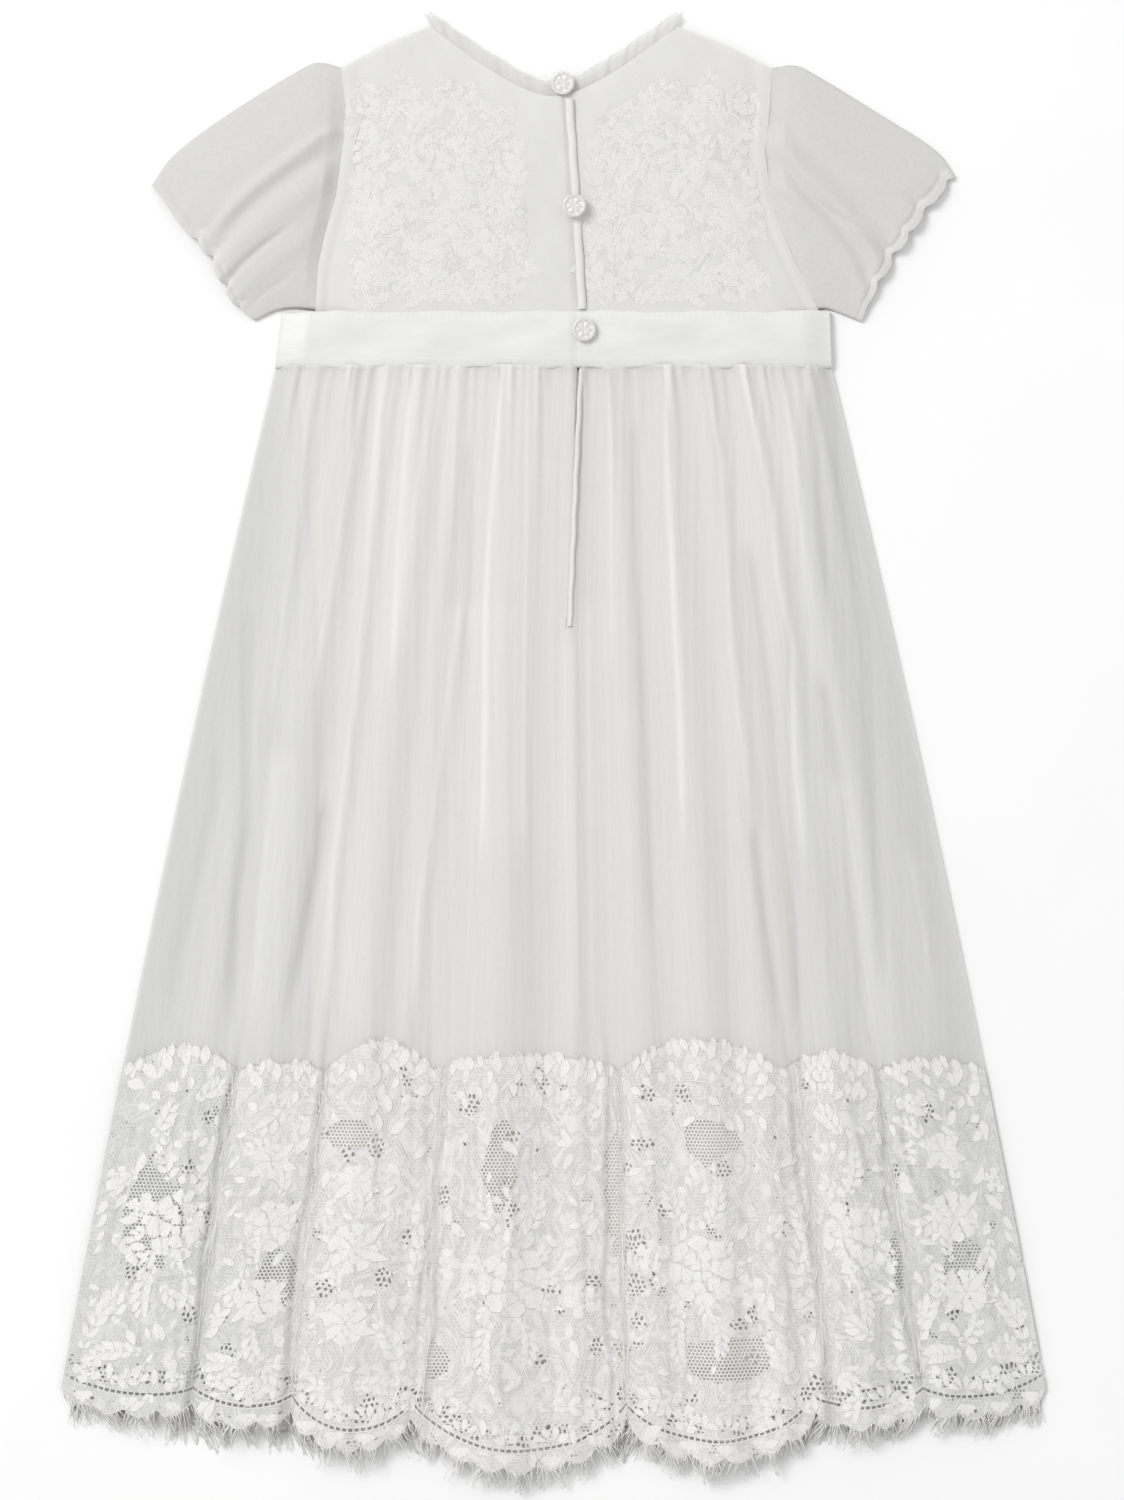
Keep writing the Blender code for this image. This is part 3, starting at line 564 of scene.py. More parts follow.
def merged(parts):
    """One set of points and face lists from several."""
    points, faces, start = [], [], 0
    for p, fs in parts:
        points.append(p)
        faces += [np.asarray(f) + start for f in fs if len(f)]
        start += len(p)
    by_size = {}
    for f in faces:
        by_size.setdefault(f.shape[1], []).append(f)
    return np.vstack(points), [np.vstack(f) for f in by_size.values()]


# Materials

class Look:
    """A material in the making, with short ways to add nodes to it."""

    def __init__(self, name, sockets):
        self.material = bpy.data.materials.new(name)
        self.material.use_nodes = True
        self.tree = self.material.node_tree
        self.sockets = self.tree.nodes["Principled BSDF"].inputs
        for key, value in sockets.items():
            self.sockets[key].default_value = value

    def node(self, kind, inputs=None, **settings):
        """A node with its inputs linked or set, by name or by number."""
        made = self.tree.nodes.new("ShaderNode" + kind)
        for key, value in settings.items():
            setattr(made, key, value)
        for key, value in (inputs or {}).items():
            if isinstance(value, bpy.types.NodeSocket):
                self.tree.links.new(value, made.inputs[key])
            else:
                made.inputs[key].default_value = value
        return made

    def give(self, key, value):
        self.tree.links.new(value, self.sockets[key])

    def math(self, operation, *values):
        return self.node("Math", dict(enumerate(values)), operation=operation).outputs[0]

    def plus(self, a, b):
        return self.math("ADD", a, b)

    def times(self, a, b):
        return self.math("MULTIPLY", a, b)

    def rest(self, a):
        return self.math("SUBTRACT", 1.0, a)

    def vector(self, operation, a, b=(0.0, 0.0, 0.0), out=0):
        return self.node("VectorMath", {0: a, 1: b}, operation=operation).outputs[out]

    def placed(self, across, down):
        """Texture coordinates in millimetres over the cloth, scaled."""
        uv = self.node("UVMap", uv_map="UVMap").outputs["UV"]
        scale = (UV_SPAN * across, UV_SPAN * down, 1.0)
        return self.node("Mapping", {"Vector": uv, "Scale": scale}).outputs["Vector"]

    def noise(self, across, down, detail=2.0, roughness=0.55, distortion=0.0, out="Fac"):
        inputs = {
            "Vector": self.placed(across, down), "Scale": 1.0, "Detail": detail,
            "Roughness": roughness, "Distortion": distortion,
        }
        return self.node("TexNoise", inputs, noise_dimensions="2D").outputs[out]

    def ramp(self, value, low, high, start, end):
        """value from low to high mapped to start to end, held at both ends."""
        inputs = {"Value": value, "From Min": low, "From Max": high, "To Min": start, "To Max": end}
        return self.node("MapRange", inputs, clamp=True).outputs["Result"]

    def mix(self, factor, a, b):
        return self.node("Mix", {0: factor, 6: a, 7: b}, data_type="RGBA").outputs[2]

    def blend(self, value, a, b):
        """From a to b as a noise rises through the middle of its range."""
        return self.mix(self.ramp(value, 0.3, 0.7, 0, 1), a, b)

    def carried(self, key):
        """A value that the mesh carries."""
        return self.node("Attribute", attribute_name=key).outputs["Fac"]

    def bump(self, height, distance, strength=0.7):
        inputs = {"Height": height, "Distance": distance * MM, "Strength": strength}
        self.give("Normal", self.node("Bump", inputs).outputs["Normal"])

    def beats(self, value):
        """0 at each whole number of value and 1 halfway."""
        return self.math("ABSOLUTE", self.math("SINE", self.times(value, math.pi)))

    def weave(self, pitch):
        """Crossing threads at a pitch in millimetres, from 0 between them to 1 on them."""
        split = self.node("SeparateXYZ", {"Vector": self.placed(1 / pitch, 1 / pitch)})
        return self.math("MAXIMUM", *(self.beats(split.outputs[i]) for i in (0, 1)))

    def hex_net(self, vector):
        """Distance from the middle of a six-sided mesh, 0 there and 1 on the threads."""
        tall = math.sqrt(3.0)
        cell, half, flat = (1.0, tall, 1.0), (0.5, tall / 2, 0.0), (1.0, 1.0, 0.0)
        moved = self.vector("ADD", vector, (4000.0, 4000.0 * tall, 0.0))
        first, second = (
            self.vector("MULTIPLY", self.vector("SUBTRACT", self.vector("MODULO", start, cell), half), flat)
            for start in (moved, self.vector("SUBTRACT", moved, half))
        )
        lengths = [self.vector("LENGTH", one, out="Value") for one in (second, first)]
        near = self.math("LESS_THAN", *lengths)
        chosen = self.node("Mix", {0: near, 4: first, 5: second}, data_type="VECTOR").outputs[1]
        spread = self.vector("ABSOLUTE", chosen)
        slanted = self.vector("DOT_PRODUCT", spread, half, out="Value")
        straight = self.node("SeparateXYZ", {"Vector": spread}).outputs[0]
        return self.times(self.math("MAXIMUM", slanted, straight), 2.0)


def grey(value, warm=0.0):
    return (value, value * (1 - 0.35 * warm), value * (1 - warm), 1.0)


def chiffon(name, value, alpha, warm=0.012, crinkle=1.0, grain=(0.6, 0.5)):
    """Sheer matt cloth, denser in some threads than others, brighter where folds double it, with painted
    highlights on the folds' lit sides and at the sleeves' hem notches, and painted shade in creases and
    towards the skirt's sides.
    """
    look = Look(name, {
        "Roughness": 0.8, "Specular IOR Level": 0.2, "Sheen Weight": 0.1, "Sheen Roughness": 0.5,
    })
    streaks = look.noise(*grain, detail=3, roughness=0.5)
    slubs = look.noise(3.2, 0.4)
    cloudy = look.noise(0.03, 0.02)
    threads = look.weave(0.42)
    tone = look.plus(look.times(streaks, 0.6), look.times(slubs, 0.4))
    doubled_and_painted_light = look.carried("doubling_and_painted_light")
    colour = look.blend(tone, grey(value * 0.992, warm), grey(value * 1.008, warm))
    colour = look.mix(look.ramp(cloudy, 0.3, 0.7, 0, 0.3), colour, grey(value * 0.98, warm * 2.0))
    # Partly real and partly painted highlight: lighter where the folds double the cloth, on their lit left
    # sides and at the sleeves' hem notches.
    colour = look.mix(look.ramp(doubled_and_painted_light, 0.0, 1.8, 0, 0.85), colour, grey(min(value * 1.07, 0.97), 0.008))
    # Painted shade: darker along sunken creases and towards the skirt's sides.
    colour = look.mix(look.ramp(doubled_and_painted_light, 0.0, -1.5, 0, 1), colour, grey(value * 0.92, 0.002))
    look.give("Base Color", colour)
    seen = look.ramp(tone, 0.25, 0.75, alpha - 0.03, alpha + 0.03)
    seen = look.plus(seen, look.ramp(doubled_and_painted_light, -1.0, 1.8, -0.05, 0.18))
    look.give("Alpha", look.plus(seen, look.times(threads, 0.05)))
    look.bump(look.plus(tone, look.times(threads, 0.12)), 0.22 * crinkle)
    return look.material


def lining_cloth(name):
    look = Look(name, {"Roughness": 0.85, "Specular IOR Level": 0.2})
    threads = look.weave(0.5)
    colour = look.blend(look.noise(0.05, 0.02, 3), (0.86, 0.815, 0.725, 1), (0.90, 0.86, 0.785, 1))
    look.give("Base Color", look.mix(look.ramp(threads, 0, 1, 0.12, 0), colour, (0.66, 0.63, 0.58, 1)))
    look.bump(threads, 0.06, 0.6)
    return look.material


def satin(name):
    """Ribbon satin: fine lengthwise floats, a soft sheen and slight unevenness."""
    look = Look(name, {"Specular IOR Level": 0.45, "Anisotropic": 0.5, "Sheen Weight": 0.15})
    floats = look.noise(0.10, 3.2, 3)
    soft = look.noise(0.035, 0.09, 3)
    look.give("Base Color", look.blend(soft, (0.735, 0.735, 0.73, 1), (0.79, 0.79, 0.785, 1)))
    look.give("Roughness", look.ramp(floats, 0.2, 0.8, 0.34, 0.48))
    look.bump(look.plus(look.times(floats, 0.15), soft), 0.7)
    return look.material


def lace_ground(name, value, bodice=False):
    """Net with worked cloth over it: petal-like patches with corded rims, net windows and open holes."""
    look = Look(name, {"Roughness": 0.8, "Specular IOR Level": 0.25})
    wander = look.noise(0.12, 0.12, roughness=0.5, out="Color")
    bent = look.vector("MULTIPLY", wander, (1.8, 1.8, 0.0))
    steps = look.times(look.noise(0.10, 0.075, 2.2, distortion=1.8), 11.0)
    place = look.math("PINGPONG", steps, 1.0)
    rim = look.math("MINIMUM", place, look.rest(place))
    parity = look.ramp(look.math("PINGPONG", look.times(steps, 0.5), 1.0), 0.47, 0.53, 0, 1)
    toile = look.noise(2.2, 0.9)
    wobble = look.math("SUBTRACT", look.noise(0.09, 0.09, 3), 0.5)
    worked = look.ramp(look.math("MULTIPLY_ADD", wobble, 1.5, look.carried("dense")), 0.40, 0.46, 0, 1)
    outline = look.times(look.ramp(rim, 0.02, 0.09, 1, 0), worked)
    colour = look.blend(toile, grey(value * 0.97, 0.022), grey(value * 1.02, 0.018))
    colour = look.mix(look.times(outline, 0.8), colour, grey(0.92, 0.012))
    colour = look.mix(look.ramp(parity, 0, 1, 0.45, 0.0), colour, grey(value * 0.90, 0.016))
    # Painted shade: the lace is darker towards the skirt's sides, where no lining lies under it.
    colour = look.mix(look.times(look.carried("side"), 0.7), colour, grey(value * 0.87, 0.004))
    if bodice:
        seen = look.math("MULTIPLY_ADD", worked, 0.05, 0.90)
        plain = look.blend(toile, grey(value * 0.955, 0.016), grey(value * 0.985, 0.014))
        colour = look.mix(worked, plain, colour)
    else:
        net = look.ramp(look.hex_net(look.placed(1 / 1.6, 1 / 1.6)), 0.60, 0.74, 0.3, 1)
        stirred = look.vector("ADD", look.placed(1 / 2.3, 1 / 2.5), bent)
        open_work = look.ramp(look.hex_net(stirred), 0.46, 0.60, 0.18, 1)
        holed = look.ramp(look.math("MULTIPLY_ADD", wobble, 2.2, look.carried("comb")), 0.50, 0.58, 0, 1)
        toile_seen, rim_seen = look.math("MULTIPLY_ADD", parity, 0.12, 0.86), look.ramp(rim, 0.03, 0.08, 1, 0)
        seen = look.math("MAXIMUM", net, look.times(worked, look.math("MAXIMUM", toile_seen, rim_seen)))
        seen = look.times(seen, look.math("MAXIMUM", open_work, look.rest(holed)))
        beaded = look.ramp(look.beats(look.carried("phase")), 0.42, 0.56, 0, 0.85)
        in_row = look.ramp(look.math("ABSOLUTE", look.carried("row")), 0.44, 0.62, 1, 0)
        seen = look.times(seen, look.rest(look.times(beaded, in_row)))
    look.give("Alpha", seen)
    look.give("Base Color", colour)
    body = look.plus(look.times(look.times(worked, parity), 0.6), look.times(outline, 0.9))
    look.bump(look.plus(body, look.times(toile, 0.25)), 0.24)
    return look.material


def lace_thread(name, value):
    """The raised, thicker work of the lace: filled petals and the cords round them."""
    look = Look(name, {"Roughness": 0.7, "Specular IOR Level": 0.35, "Sheen Weight": 0.15})
    stitch = look.noise(1.2, 3.2)
    broad = look.ramp(look.noise(0.10, 0.10), 0.35, 0.7, 0, 0.5)
    colour = look.blend(stitch, grey(value * 0.97, 0.018), grey(min(value * 1.03, 0.96), 0.014))
    look.give("Base Color", look.mix(broad, colour, grey(value * 0.93, 0.02)))
    look.give("Alpha", look.ramp(stitch, 0.25, 0.6, 0.80, 1.0))
    look.bump(stitch, 0.12)
    return look.material


def clear_button(name):
    look = Look(name, {
        "Roughness": 0.18, "IOR": 1.5, "Transmission Weight": 0.25,
        "Coat Weight": 0.7, "Coat Roughness": 0.06,
    })
    look.give("Base Color", look.blend(look.noise(0.5, 0.5), (0.86, 0.845, 0.83, 1), (0.93, 0.93, 0.93, 1)))
    return look.material


looks = {
    "chiffon": chiffon("chiffon_skirt", 0.80, 0.66, grain=(0.8, 0.012)),
    "sleeve": chiffon("chiffon_sleeve", 0.675, 0.86, 0.016, 0.25),
    "edging": chiffon("chiffon_edging", 0.74, 0.62, 0.014, 0.4),
    "binding": chiffon("chiffon_binding", 0.755, 0.92, 0.012, 0.3),
    "lining": lining_cloth("lining_cloth"),
    "satin": satin("ribbon_satin"),
    "lace": lace_ground("lace_ground", 0.785),
    "bodice": lace_ground("bodice_ground", 0.795, bodice=True),
    "work": lace_thread("lace_work", 0.87),
    "cord": lace_thread("lace_cord", 0.93),
    "thread": lace_thread("lace_thread", 0.95),
    "bodice_work": lace_thread("bodice_work", 0.795),
    "button": clear_button("button_clear"),
}


# Skirt

def skirt_grid(scallops, shares, rows, gap=0.0):
    """Points between the sash and the lace, at shares across."""
    _, arch = scallop_edges(scallops, shares)
    y = SKIRT_TOP + rows[:, None] * (LACE_TOP_Y + arch - LACE_LAP - SKIRT_TOP)[None, :]
    return across_skirt(np.broadcast_to(shares, y.shape), y, gap), y


def skirt_half_cloth(side, node_name):
    """Half of the skirt's back. The left half is tucked under the slit's right edge."""
    columns, rows = GRIDS["skirt_back"]
    shares = side * np.linspace(1, 0.0, columns)
    if side < 0:
        shares[-1] = -1e-9
    x, y = skirt_grid(BACK_SCALLOPS, shares, np.linspace(0, 1, rows) ** 1.25, SEAM)
    to_line = np.abs(x - along(CENTRE_LINE, y))
    above, below = smooth((y - SLIT_END_Y) / 30.0), smooth((SLIT_END_Y - y) / 6.0)
    if side > 0:
        x = x + (0.5 * above - (SEAM + 0.5) * below) * np.exp(-to_line / 5.0)
    else:
        tuck = (SEAM + 0.9) * smooth((SKIRT_TOP - 22 - y) / 14.0) * smooth((y - SLIT_END_Y) / 6.0)
        x = x + tuck * np.exp(-to_line / 4.0)
    seam = bell((x - along(CENTRE_LINE, y) - 1.6) / 1.0) * smooth((SLIT_END_Y - y) / 8.0)
    lace_edge = LACE_TOP_Y + scallop_edges(BACK_SCALLOPS, shares)[1][None, :]
    z = back_surface(x, y) + 0.3 * seam - 0.3 * smooth((lace_edge + 1.6 - y) / 2.0)
    y[0] += 1.4
    z[0] -= 0.2
    uv = (np.broadcast_to(shares, y.shape) * 160, y)
    # The attribute carries where folds double the cloth, with painted highlights and painted shade.
    cloth(node_name, x, y, z, "chiffon", uv=uv, attributes={"doubling_and_painted_light": doubling_and_painted_light(x, y)})


skirt_half_cloth(-1, "skirt_back_left")
skirt_half_cloth(1, "skirt_back_right")
columns, rows = GRIDS["skirt_front"]
x, y = skirt_grid(FRONT_SCALLOPS, np.linspace(-1, 1, columns), np.linspace(0, 1, rows))
cloth("skirt_front", x, y, front_surface(x, y, 0.25, 0.35), "chiffon")

columns, rows = GRIDS["lining"]
for node_name, height in (("lining_front", LINING_FRONT_HEIGHT), ("lining_back", LINING_BACK_HEIGHT)):
    across, y = np.meshgrid(np.linspace(-1, 1, columns), np.linspace(SKIRT_TOP - 0.6, LINING_BOTTOM_Y, rows))
    x = along(LINING_SIDES, y) * across
    z = height + 0.75 + 0.12 * np.sin(x * 0.21 + y * 0.02) + 0.08 * np.sin(x * 0.5)
    cloth(node_name, x, y, z, "lining", thick=0.4)


# Lace band: its own flat width is longer than what shows, by what its folds hide

fold_shares = np.linspace(-1, 1, 4001)
fold_lengths = fold_shares * skirt_half(HEM_Y)
for place, hidden, _, width in LACE_FOLDS:
    fold_lengths = fold_lengths + hidden * smooth((fold_shares - place) / (2.4 * width) + 0.5)
fold_lengths -= (fold_lengths[0] + fold_lengths[-1]) / 2


def lace_length(s):
    return np.interp(s, fold_shares, fold_lengths)


def lace_share(u):
    return np.interp(u, fold_lengths, fold_shares)


# Open net windows in the lace: along its length, height, half width, half height
WINDOWS = (
    (-246.0, -190.0, 12.0, 20.0),
    (-166.0, -216.0, 7.0, 12.0),
    (-62.0, -247.0, 12.0, 7.0),
    (-32.0, -170.0, 6.0, 18.0),
    (20.0, -176.0, 6.0, 22.0),
    (88.0, -158.0, 12.0, 8.0),
    (90.0, -246.0, 17.0, 8.0),
    (196.0, -206.0, 6.0, 10.0),
    (246.0, -210.0, 9.0, 12.0),
    (-120.0, -156.0, 9.0, 6.0),
)
# Patches of larger holes, in the same way
COMB_COUNT = 74
COMBS = np.stack([
    rng.uniform(-268, 268, COMB_COUNT), rng.uniform(-246, -134, COMB_COUNT),
    rng.uniform(2.6, 5.6, COMB_COUNT), rng.uniform(2.6, 6.5, COMB_COUNT),
], -1)


def smooth_edge(u, scallops):
    """The hem's scallops without their small ones."""
    s = lace_share(u)
    drop = np.zeros_like(s)
    for (_, _, low, _, _), inside, share in scallop_spans(scallops, s):
        drop[inside] = (low * (4 * share * (1 - share)) ** 0.8)[inside]
    return HEM_Y - HEM_BOW * (1 - s * s) - drop


def hem_places(u, y, scallops):
    """Where the lace's row of small holes and its open work lie, as fields over the band."""
    over = y - smooth_edge(u, scallops)
    phase, comb = np.zeros_like(u), np.zeros_like(u)
    for (left, right, _, _, small), inside, _ in scallop_spans(scallops, lace_share(u)):
        start, stop = lace_length(np.array([left, right]))
        share = np.clip((u - start) / (stop - start), 0, 1)
        phase[inside] = (round((stop - start) / BEAD_PITCH) * share)[inside]
        waves = 0.5 + 0.5 * np.cos(2 * math.pi * small * (share - 0.5))
        comb[inside] = (bell((over - 12.5) / 4.2) * (0.55 + 0.45 * waves))[inside]
        comb[inside] = np.maximum(comb, 0.9 * bell((over - 1.4) / 1.1) * (1 - waves))[inside]
    for cu, cy, ru, ry in COMBS:
        comb = np.maximum(comb, 0.95 * np.exp(-(((u - cu) / ru) ** 2 + ((y - cy) / ry) ** 2) ** 1.5))
    return {"row": over - BEAD_ROW, "phase": phase, "comb": comb}


def window_field(u, y, below):
    """How closely the lace is worked: less in the net windows, fully at its lower edge."""
    dense = np.full_like(u, 0.78)
    for cu, cy, ru, ry in WINDOWS:
        away = np.sqrt(((u - cu) / ru) ** 2 + ((y - cy) / ry) ** 2)
        dense -= 0.9 * smooth(1.6 - away * 1.1)
    return np.clip(np.where(below < 3.0, 1.0, dense), 0, 1)


def lace_band(node_name, scallops, height, columns, rows):
    drop, arch = scallop_edges(scallops, columns)
    top, bottom = LACE_TOP_Y + arch, HEM_Y - drop
    y = top[None, :] + np.linspace(0, 1, rows)[:, None] * (bottom - top)[None, :]
    s = np.broadcast_to(columns, y.shape)
    x, u = across_skirt(s, y), lace_length(s)
    fields = hem_places(u, y, scallops)
    fields["dense"] = window_field(u, y, y - bottom[None, :])
    # Painted shade towards the sides, carried to the lace's colour.
    fields["side"] = smooth((np.abs(x) - 95) / 50)
    cloth(node_name, x, y, height(x, y), "lace", uv=(u, y), attributes=fields)


near_folds = [place + np.linspace(-2.4, 2.4, 13) * width for place, _, _, width in LACE_FOLDS]
band_columns = np.unique(np.concatenate([
    np.linspace(-1, 1, GRIDS["lace_back"][0]), *near_folds, [v for row in BACK_SCALLOPS for v in row[:2]],
]))
lace_band("lace_back", BACK_SCALLOPS, back_surface, band_columns, GRIDS["lace_back"][1])
columns, rows = GRIDS["lace_front"]
lace_band("lace_front", FRONT_SCALLOPS, front_surface, np.linspace(-1, 1, columns), rows)


# Worked motifs: leaves and petals in the lace's flat width, then laid on the surface

def reached(u, v, angle, reach_u, reach_v=None):
    """The point on a circle or an oval round u and v, at an angle in degrees."""
    a = math.radians(angle)
    return u + reach_u * math.cos(a), v + (reach_u if reach_v is None else reach_v) * math.sin(a)


class Work:
    """Leaves, petals and cords gathered in a flat plane. Angles are in degrees."""

    def __init__(self):
        self.leaves = []
        self.cords = []

    def leaf(self, u, v, angle, length, width, curl=0.0, blunt=0.0):
        self.leaves.append((u, v, math.radians(angle), length, width, curl, blunt))

    def loose_leaf(self, u, v, narrow, blunt):
        """A leaf turned, curled and shaped by chance."""
        long = rng.uniform(5, 9)
        angle, width = rng.uniform(0, 360), long * rng.uniform(narrow, 0.6)
        self.leaf(u, v, angle, long, width, rng.uniform(-0.4, 0.4), rng.uniform(0, blunt))

    def rose(self, u, v, radius, turn):
        for share, count, size in ((0.50, 8, 0.56), (0.26, 6, 0.42), (0.06, 4, 0.30)):
            for i in range(count):
                angle = turn + 360 * (i + share * 3) / count
                place = reached(u, v, angle, share * radius)
                self.leaf(*place, angle + 14, size * radius, size * radius * 1.15, 0.12, 1.0)

    def scroll(self, u, v, angle, length, width, bend, lobes):
        """A long curving leaf with lobes on both sides of a corded spine."""
        heading = math.radians(angle)
        step = length / lobes
        spine = [(u, v)]
        for i in range(lobes):
            grown = math.sin(math.pi * (0.18 + 0.74 * i / (lobes - 1)))
            for side in (1, -1):
                long, broad = width * grown * rng.uniform(0.9, 1.1), width * 0.55 * grown
                self.leaf(u, v, math.degrees(heading) + side * 48, long, broad, side * -0.25, 0.6)
            heading += math.radians(bend) / lobes
            u += step * math.cos(heading)
            v += step * math.sin(heading)
            spine.append((u, v))
        self.leaf(u, v, math.degrees(heading), width * 0.8, width * 0.36, 0.0, 0.3)
        self.line(spine, 20)

    def blossom(self, u, v, radius, turn, petals=5):
        """An open flower: broad petals, a ring of short ones and a corded eye."""
        for start, size, wide, shift in ((0.34, 0.72, 1.05, 0), (0.14, 0.40, 0.9, 0.5)):
            for i in range(petals):
                angle = turn + (360 / petals) * (i + shift)
                place = reached(u, v, angle, start * radius)
                self.leaf(*place, angle, size * radius, size * radius * wide, 0.0, 1.0)
        self.oval(u, v, 0.17 * radius, 0.17 * radius, 0, 360, 16)

    def arch(self, u, v, reach_u, reach_v, first, last, count, size, width):
        """Petals that stand side by side along part of an oval."""
        for angle in np.linspace(first, last, count):
            place = reached(u, v, angle, reach_u, reach_v)
            self.leaf(*place, angle + rng.uniform(-5, 5), size * rng.uniform(0.9, 1.1), width, 0.1, 0.8)
        self.oval(u, v, reach_u, reach_v, first, last, 40)

    def oval(self, u, v, reach_u, reach_v, first, last, count):
        """A cord along part of an oval."""
        a = np.radians(np.linspace(first, last, count))
        self.cords.append(np.stack([u + reach_u * np.cos(a), v + reach_v * np.sin(a)], -1))

    def line(self, points, count):
        self.cords.append(curve_at(points, np.linspace(0, 1, count)))

    def vine(self, points, leaf, step, width, taper):
        """A stem with leaves on both sides, smaller towards its end."""
        path = curve_at(points, np.linspace(0, 1, 200))
        runs = np.concatenate([[0], np.cumsum(np.linalg.norm(np.diff(path, axis=0), axis=1))])
        self.line(points, 30)
        for at in np.arange(step * 0.6, runs[-1], step):
            k = min(np.searchsorted(runs, at), 198)
            heading = math.degrees(math.atan2(*(path[k + 1] - path[k])[::-1]))
            size = leaf * (1 - taper * at / runs[-1]) * rng.uniform(0.85, 1.15)
            for side in (1, -1):
                self.leaf(*path[k], heading + side * rng.uniform(38, 62), size, size * width, side * -0.18)


def leaf_points(leaves):
    """Plan points, lifts and the leaf's own plan of each leaf: number by length by width."""
    data = np.array(leaves, float)
    u, v, angle, length, width, curl, blunt = (data[:, i][:, None, None] for i in range(7))
    t = np.linspace(0, 1, LEAF_LONG)[None, :, None]
    s = np.linspace(-1, 1, LEAF_WIDE)[None, None, :]
    pointed = np.sin(math.pi * t**0.85) ** 0.9
    round_end = np.sin(math.pi * np.clip(t, 0, 1) ** 1.5) ** 0.62
    half = width / 2 * ((1 - blunt) * pointed + blunt * round_end)
    half = np.maximum(half * (1 + 0.10 * np.sin(9.0 * t + 40 * u)), 0.04 * width)
    along_it, side = length * t, half * s
    across_it = curl * length * t * t + side
    pu = u + along_it * np.cos(angle) - across_it * np.sin(angle)
    pv = v + along_it * np.sin(angle) + across_it * np.cos(angle)
    lift = 0.02 + 0.08 * (1 - s * s) * np.sin(math.pi * t) - 0.05 * bell(s / 0.3) * np.sin(math.pi * t)
    return pu, pv, np.broadcast_to(lift, pu.shape), along_it + 0 * s, side + 0 * t


def lay_work(
    node_name, work, to_surface, fill_look, cord_look, allowed, cord_allowed,
    cord_radius=0.19, rims_from=5.2, relief=1.0,
):
    """Two pieces from a Work: its filled leaves, and the cords between them and round the larger ones."""
    pu, pv, lift, lu, lv = leaf_points(work.leaves)
    keep = allowed(pu, pv).reshape(len(pu), -1).all(1)
    pu, pv, lift, lu, lv = (a[keep] for a in (pu, pv, lift, lu, lv))
    number = np.arange(len(pu))[:, None, None]
    order = 0.014 * (number % 6)
    x, y, z = to_surface(pu, pv)
    faces = grid_faces(LEAF_LONG, LEAF_WIDE) + number * LEAF_LONG * LEAF_WIDE
    uv = np.stack([lu + 7.3 * number, lv], -1)
    points = np.stack([x, y, z + lift * relief + order], -1)
    add_piece(node_name, "fill", points, [faces.reshape(-1, 4)], uv, fill_look, replaces=False)
    parts = []
    large = lu[:, -1, 0] >= rims_from
    if large.any():
        rim_u, rim_v = (np.concatenate([p[large][:, :, 0], p[large][:, ::-1, -1]], 1) for p in (pu, pv))
        rx, ry, rz = to_surface(rim_u, rim_v)
        rims = np.stack([rx, ry, rz + 0.04 + order[large][:, :, 0]], -1)
        parts.append(tubes(rims, cord_radius, 3, closed=True))
    by_length = {}
    for cord in work.cords:
        if cord_allowed(cord[:, 0], cord[:, 1]).all():
            by_length.setdefault(len(cord), []).append(cord)
    for cords in by_length.values():
        flat = np.stack(cords)
        cx, cy, cz = to_surface(flat[..., 0], flat[..., 1])
        parts.append(tubes(np.stack([cx, cy, cz + 0.06], -1), cord_radius * 1.25, 4))
    points, faces = merged(parts)
    add_piece(node_name, "cords", points, faces, points[:, :2] * 3.0, cord_look, replaces=False)


def on_back(u, y):
    x = across_skirt(lace_share(u), y)
    return x, y, back_surface(x, y)


def hem_edge(u):
    drop, arch = scallop_edges(BACK_SCALLOPS, lace_share(u))
    return HEM_Y - drop, LACE_TOP_Y + arch


def in_band(u, y):
    low, high = hem_edge(u)
    return (y > low - 0.6) & (y < high + 2.6) & (np.abs(lace_share(u)) < 0.996)


def in_sight(u, y):
    """In the band, and not in the width that its folds hide."""
    seen = in_band(u, y)
    for place, _, _, width in LACE_FOLDS:
        seen &= np.abs(lace_share(u) - place) > 1.2 * width
    return seen


def in_window(u, v):
    return window_field(np.array([u]), np.array([v]), np.array([20.0]))[0] < 0.45


def drawn(*ranges):
    """A number by chance from each range."""
    return [rng.uniform(*ends) for ends in ranges]


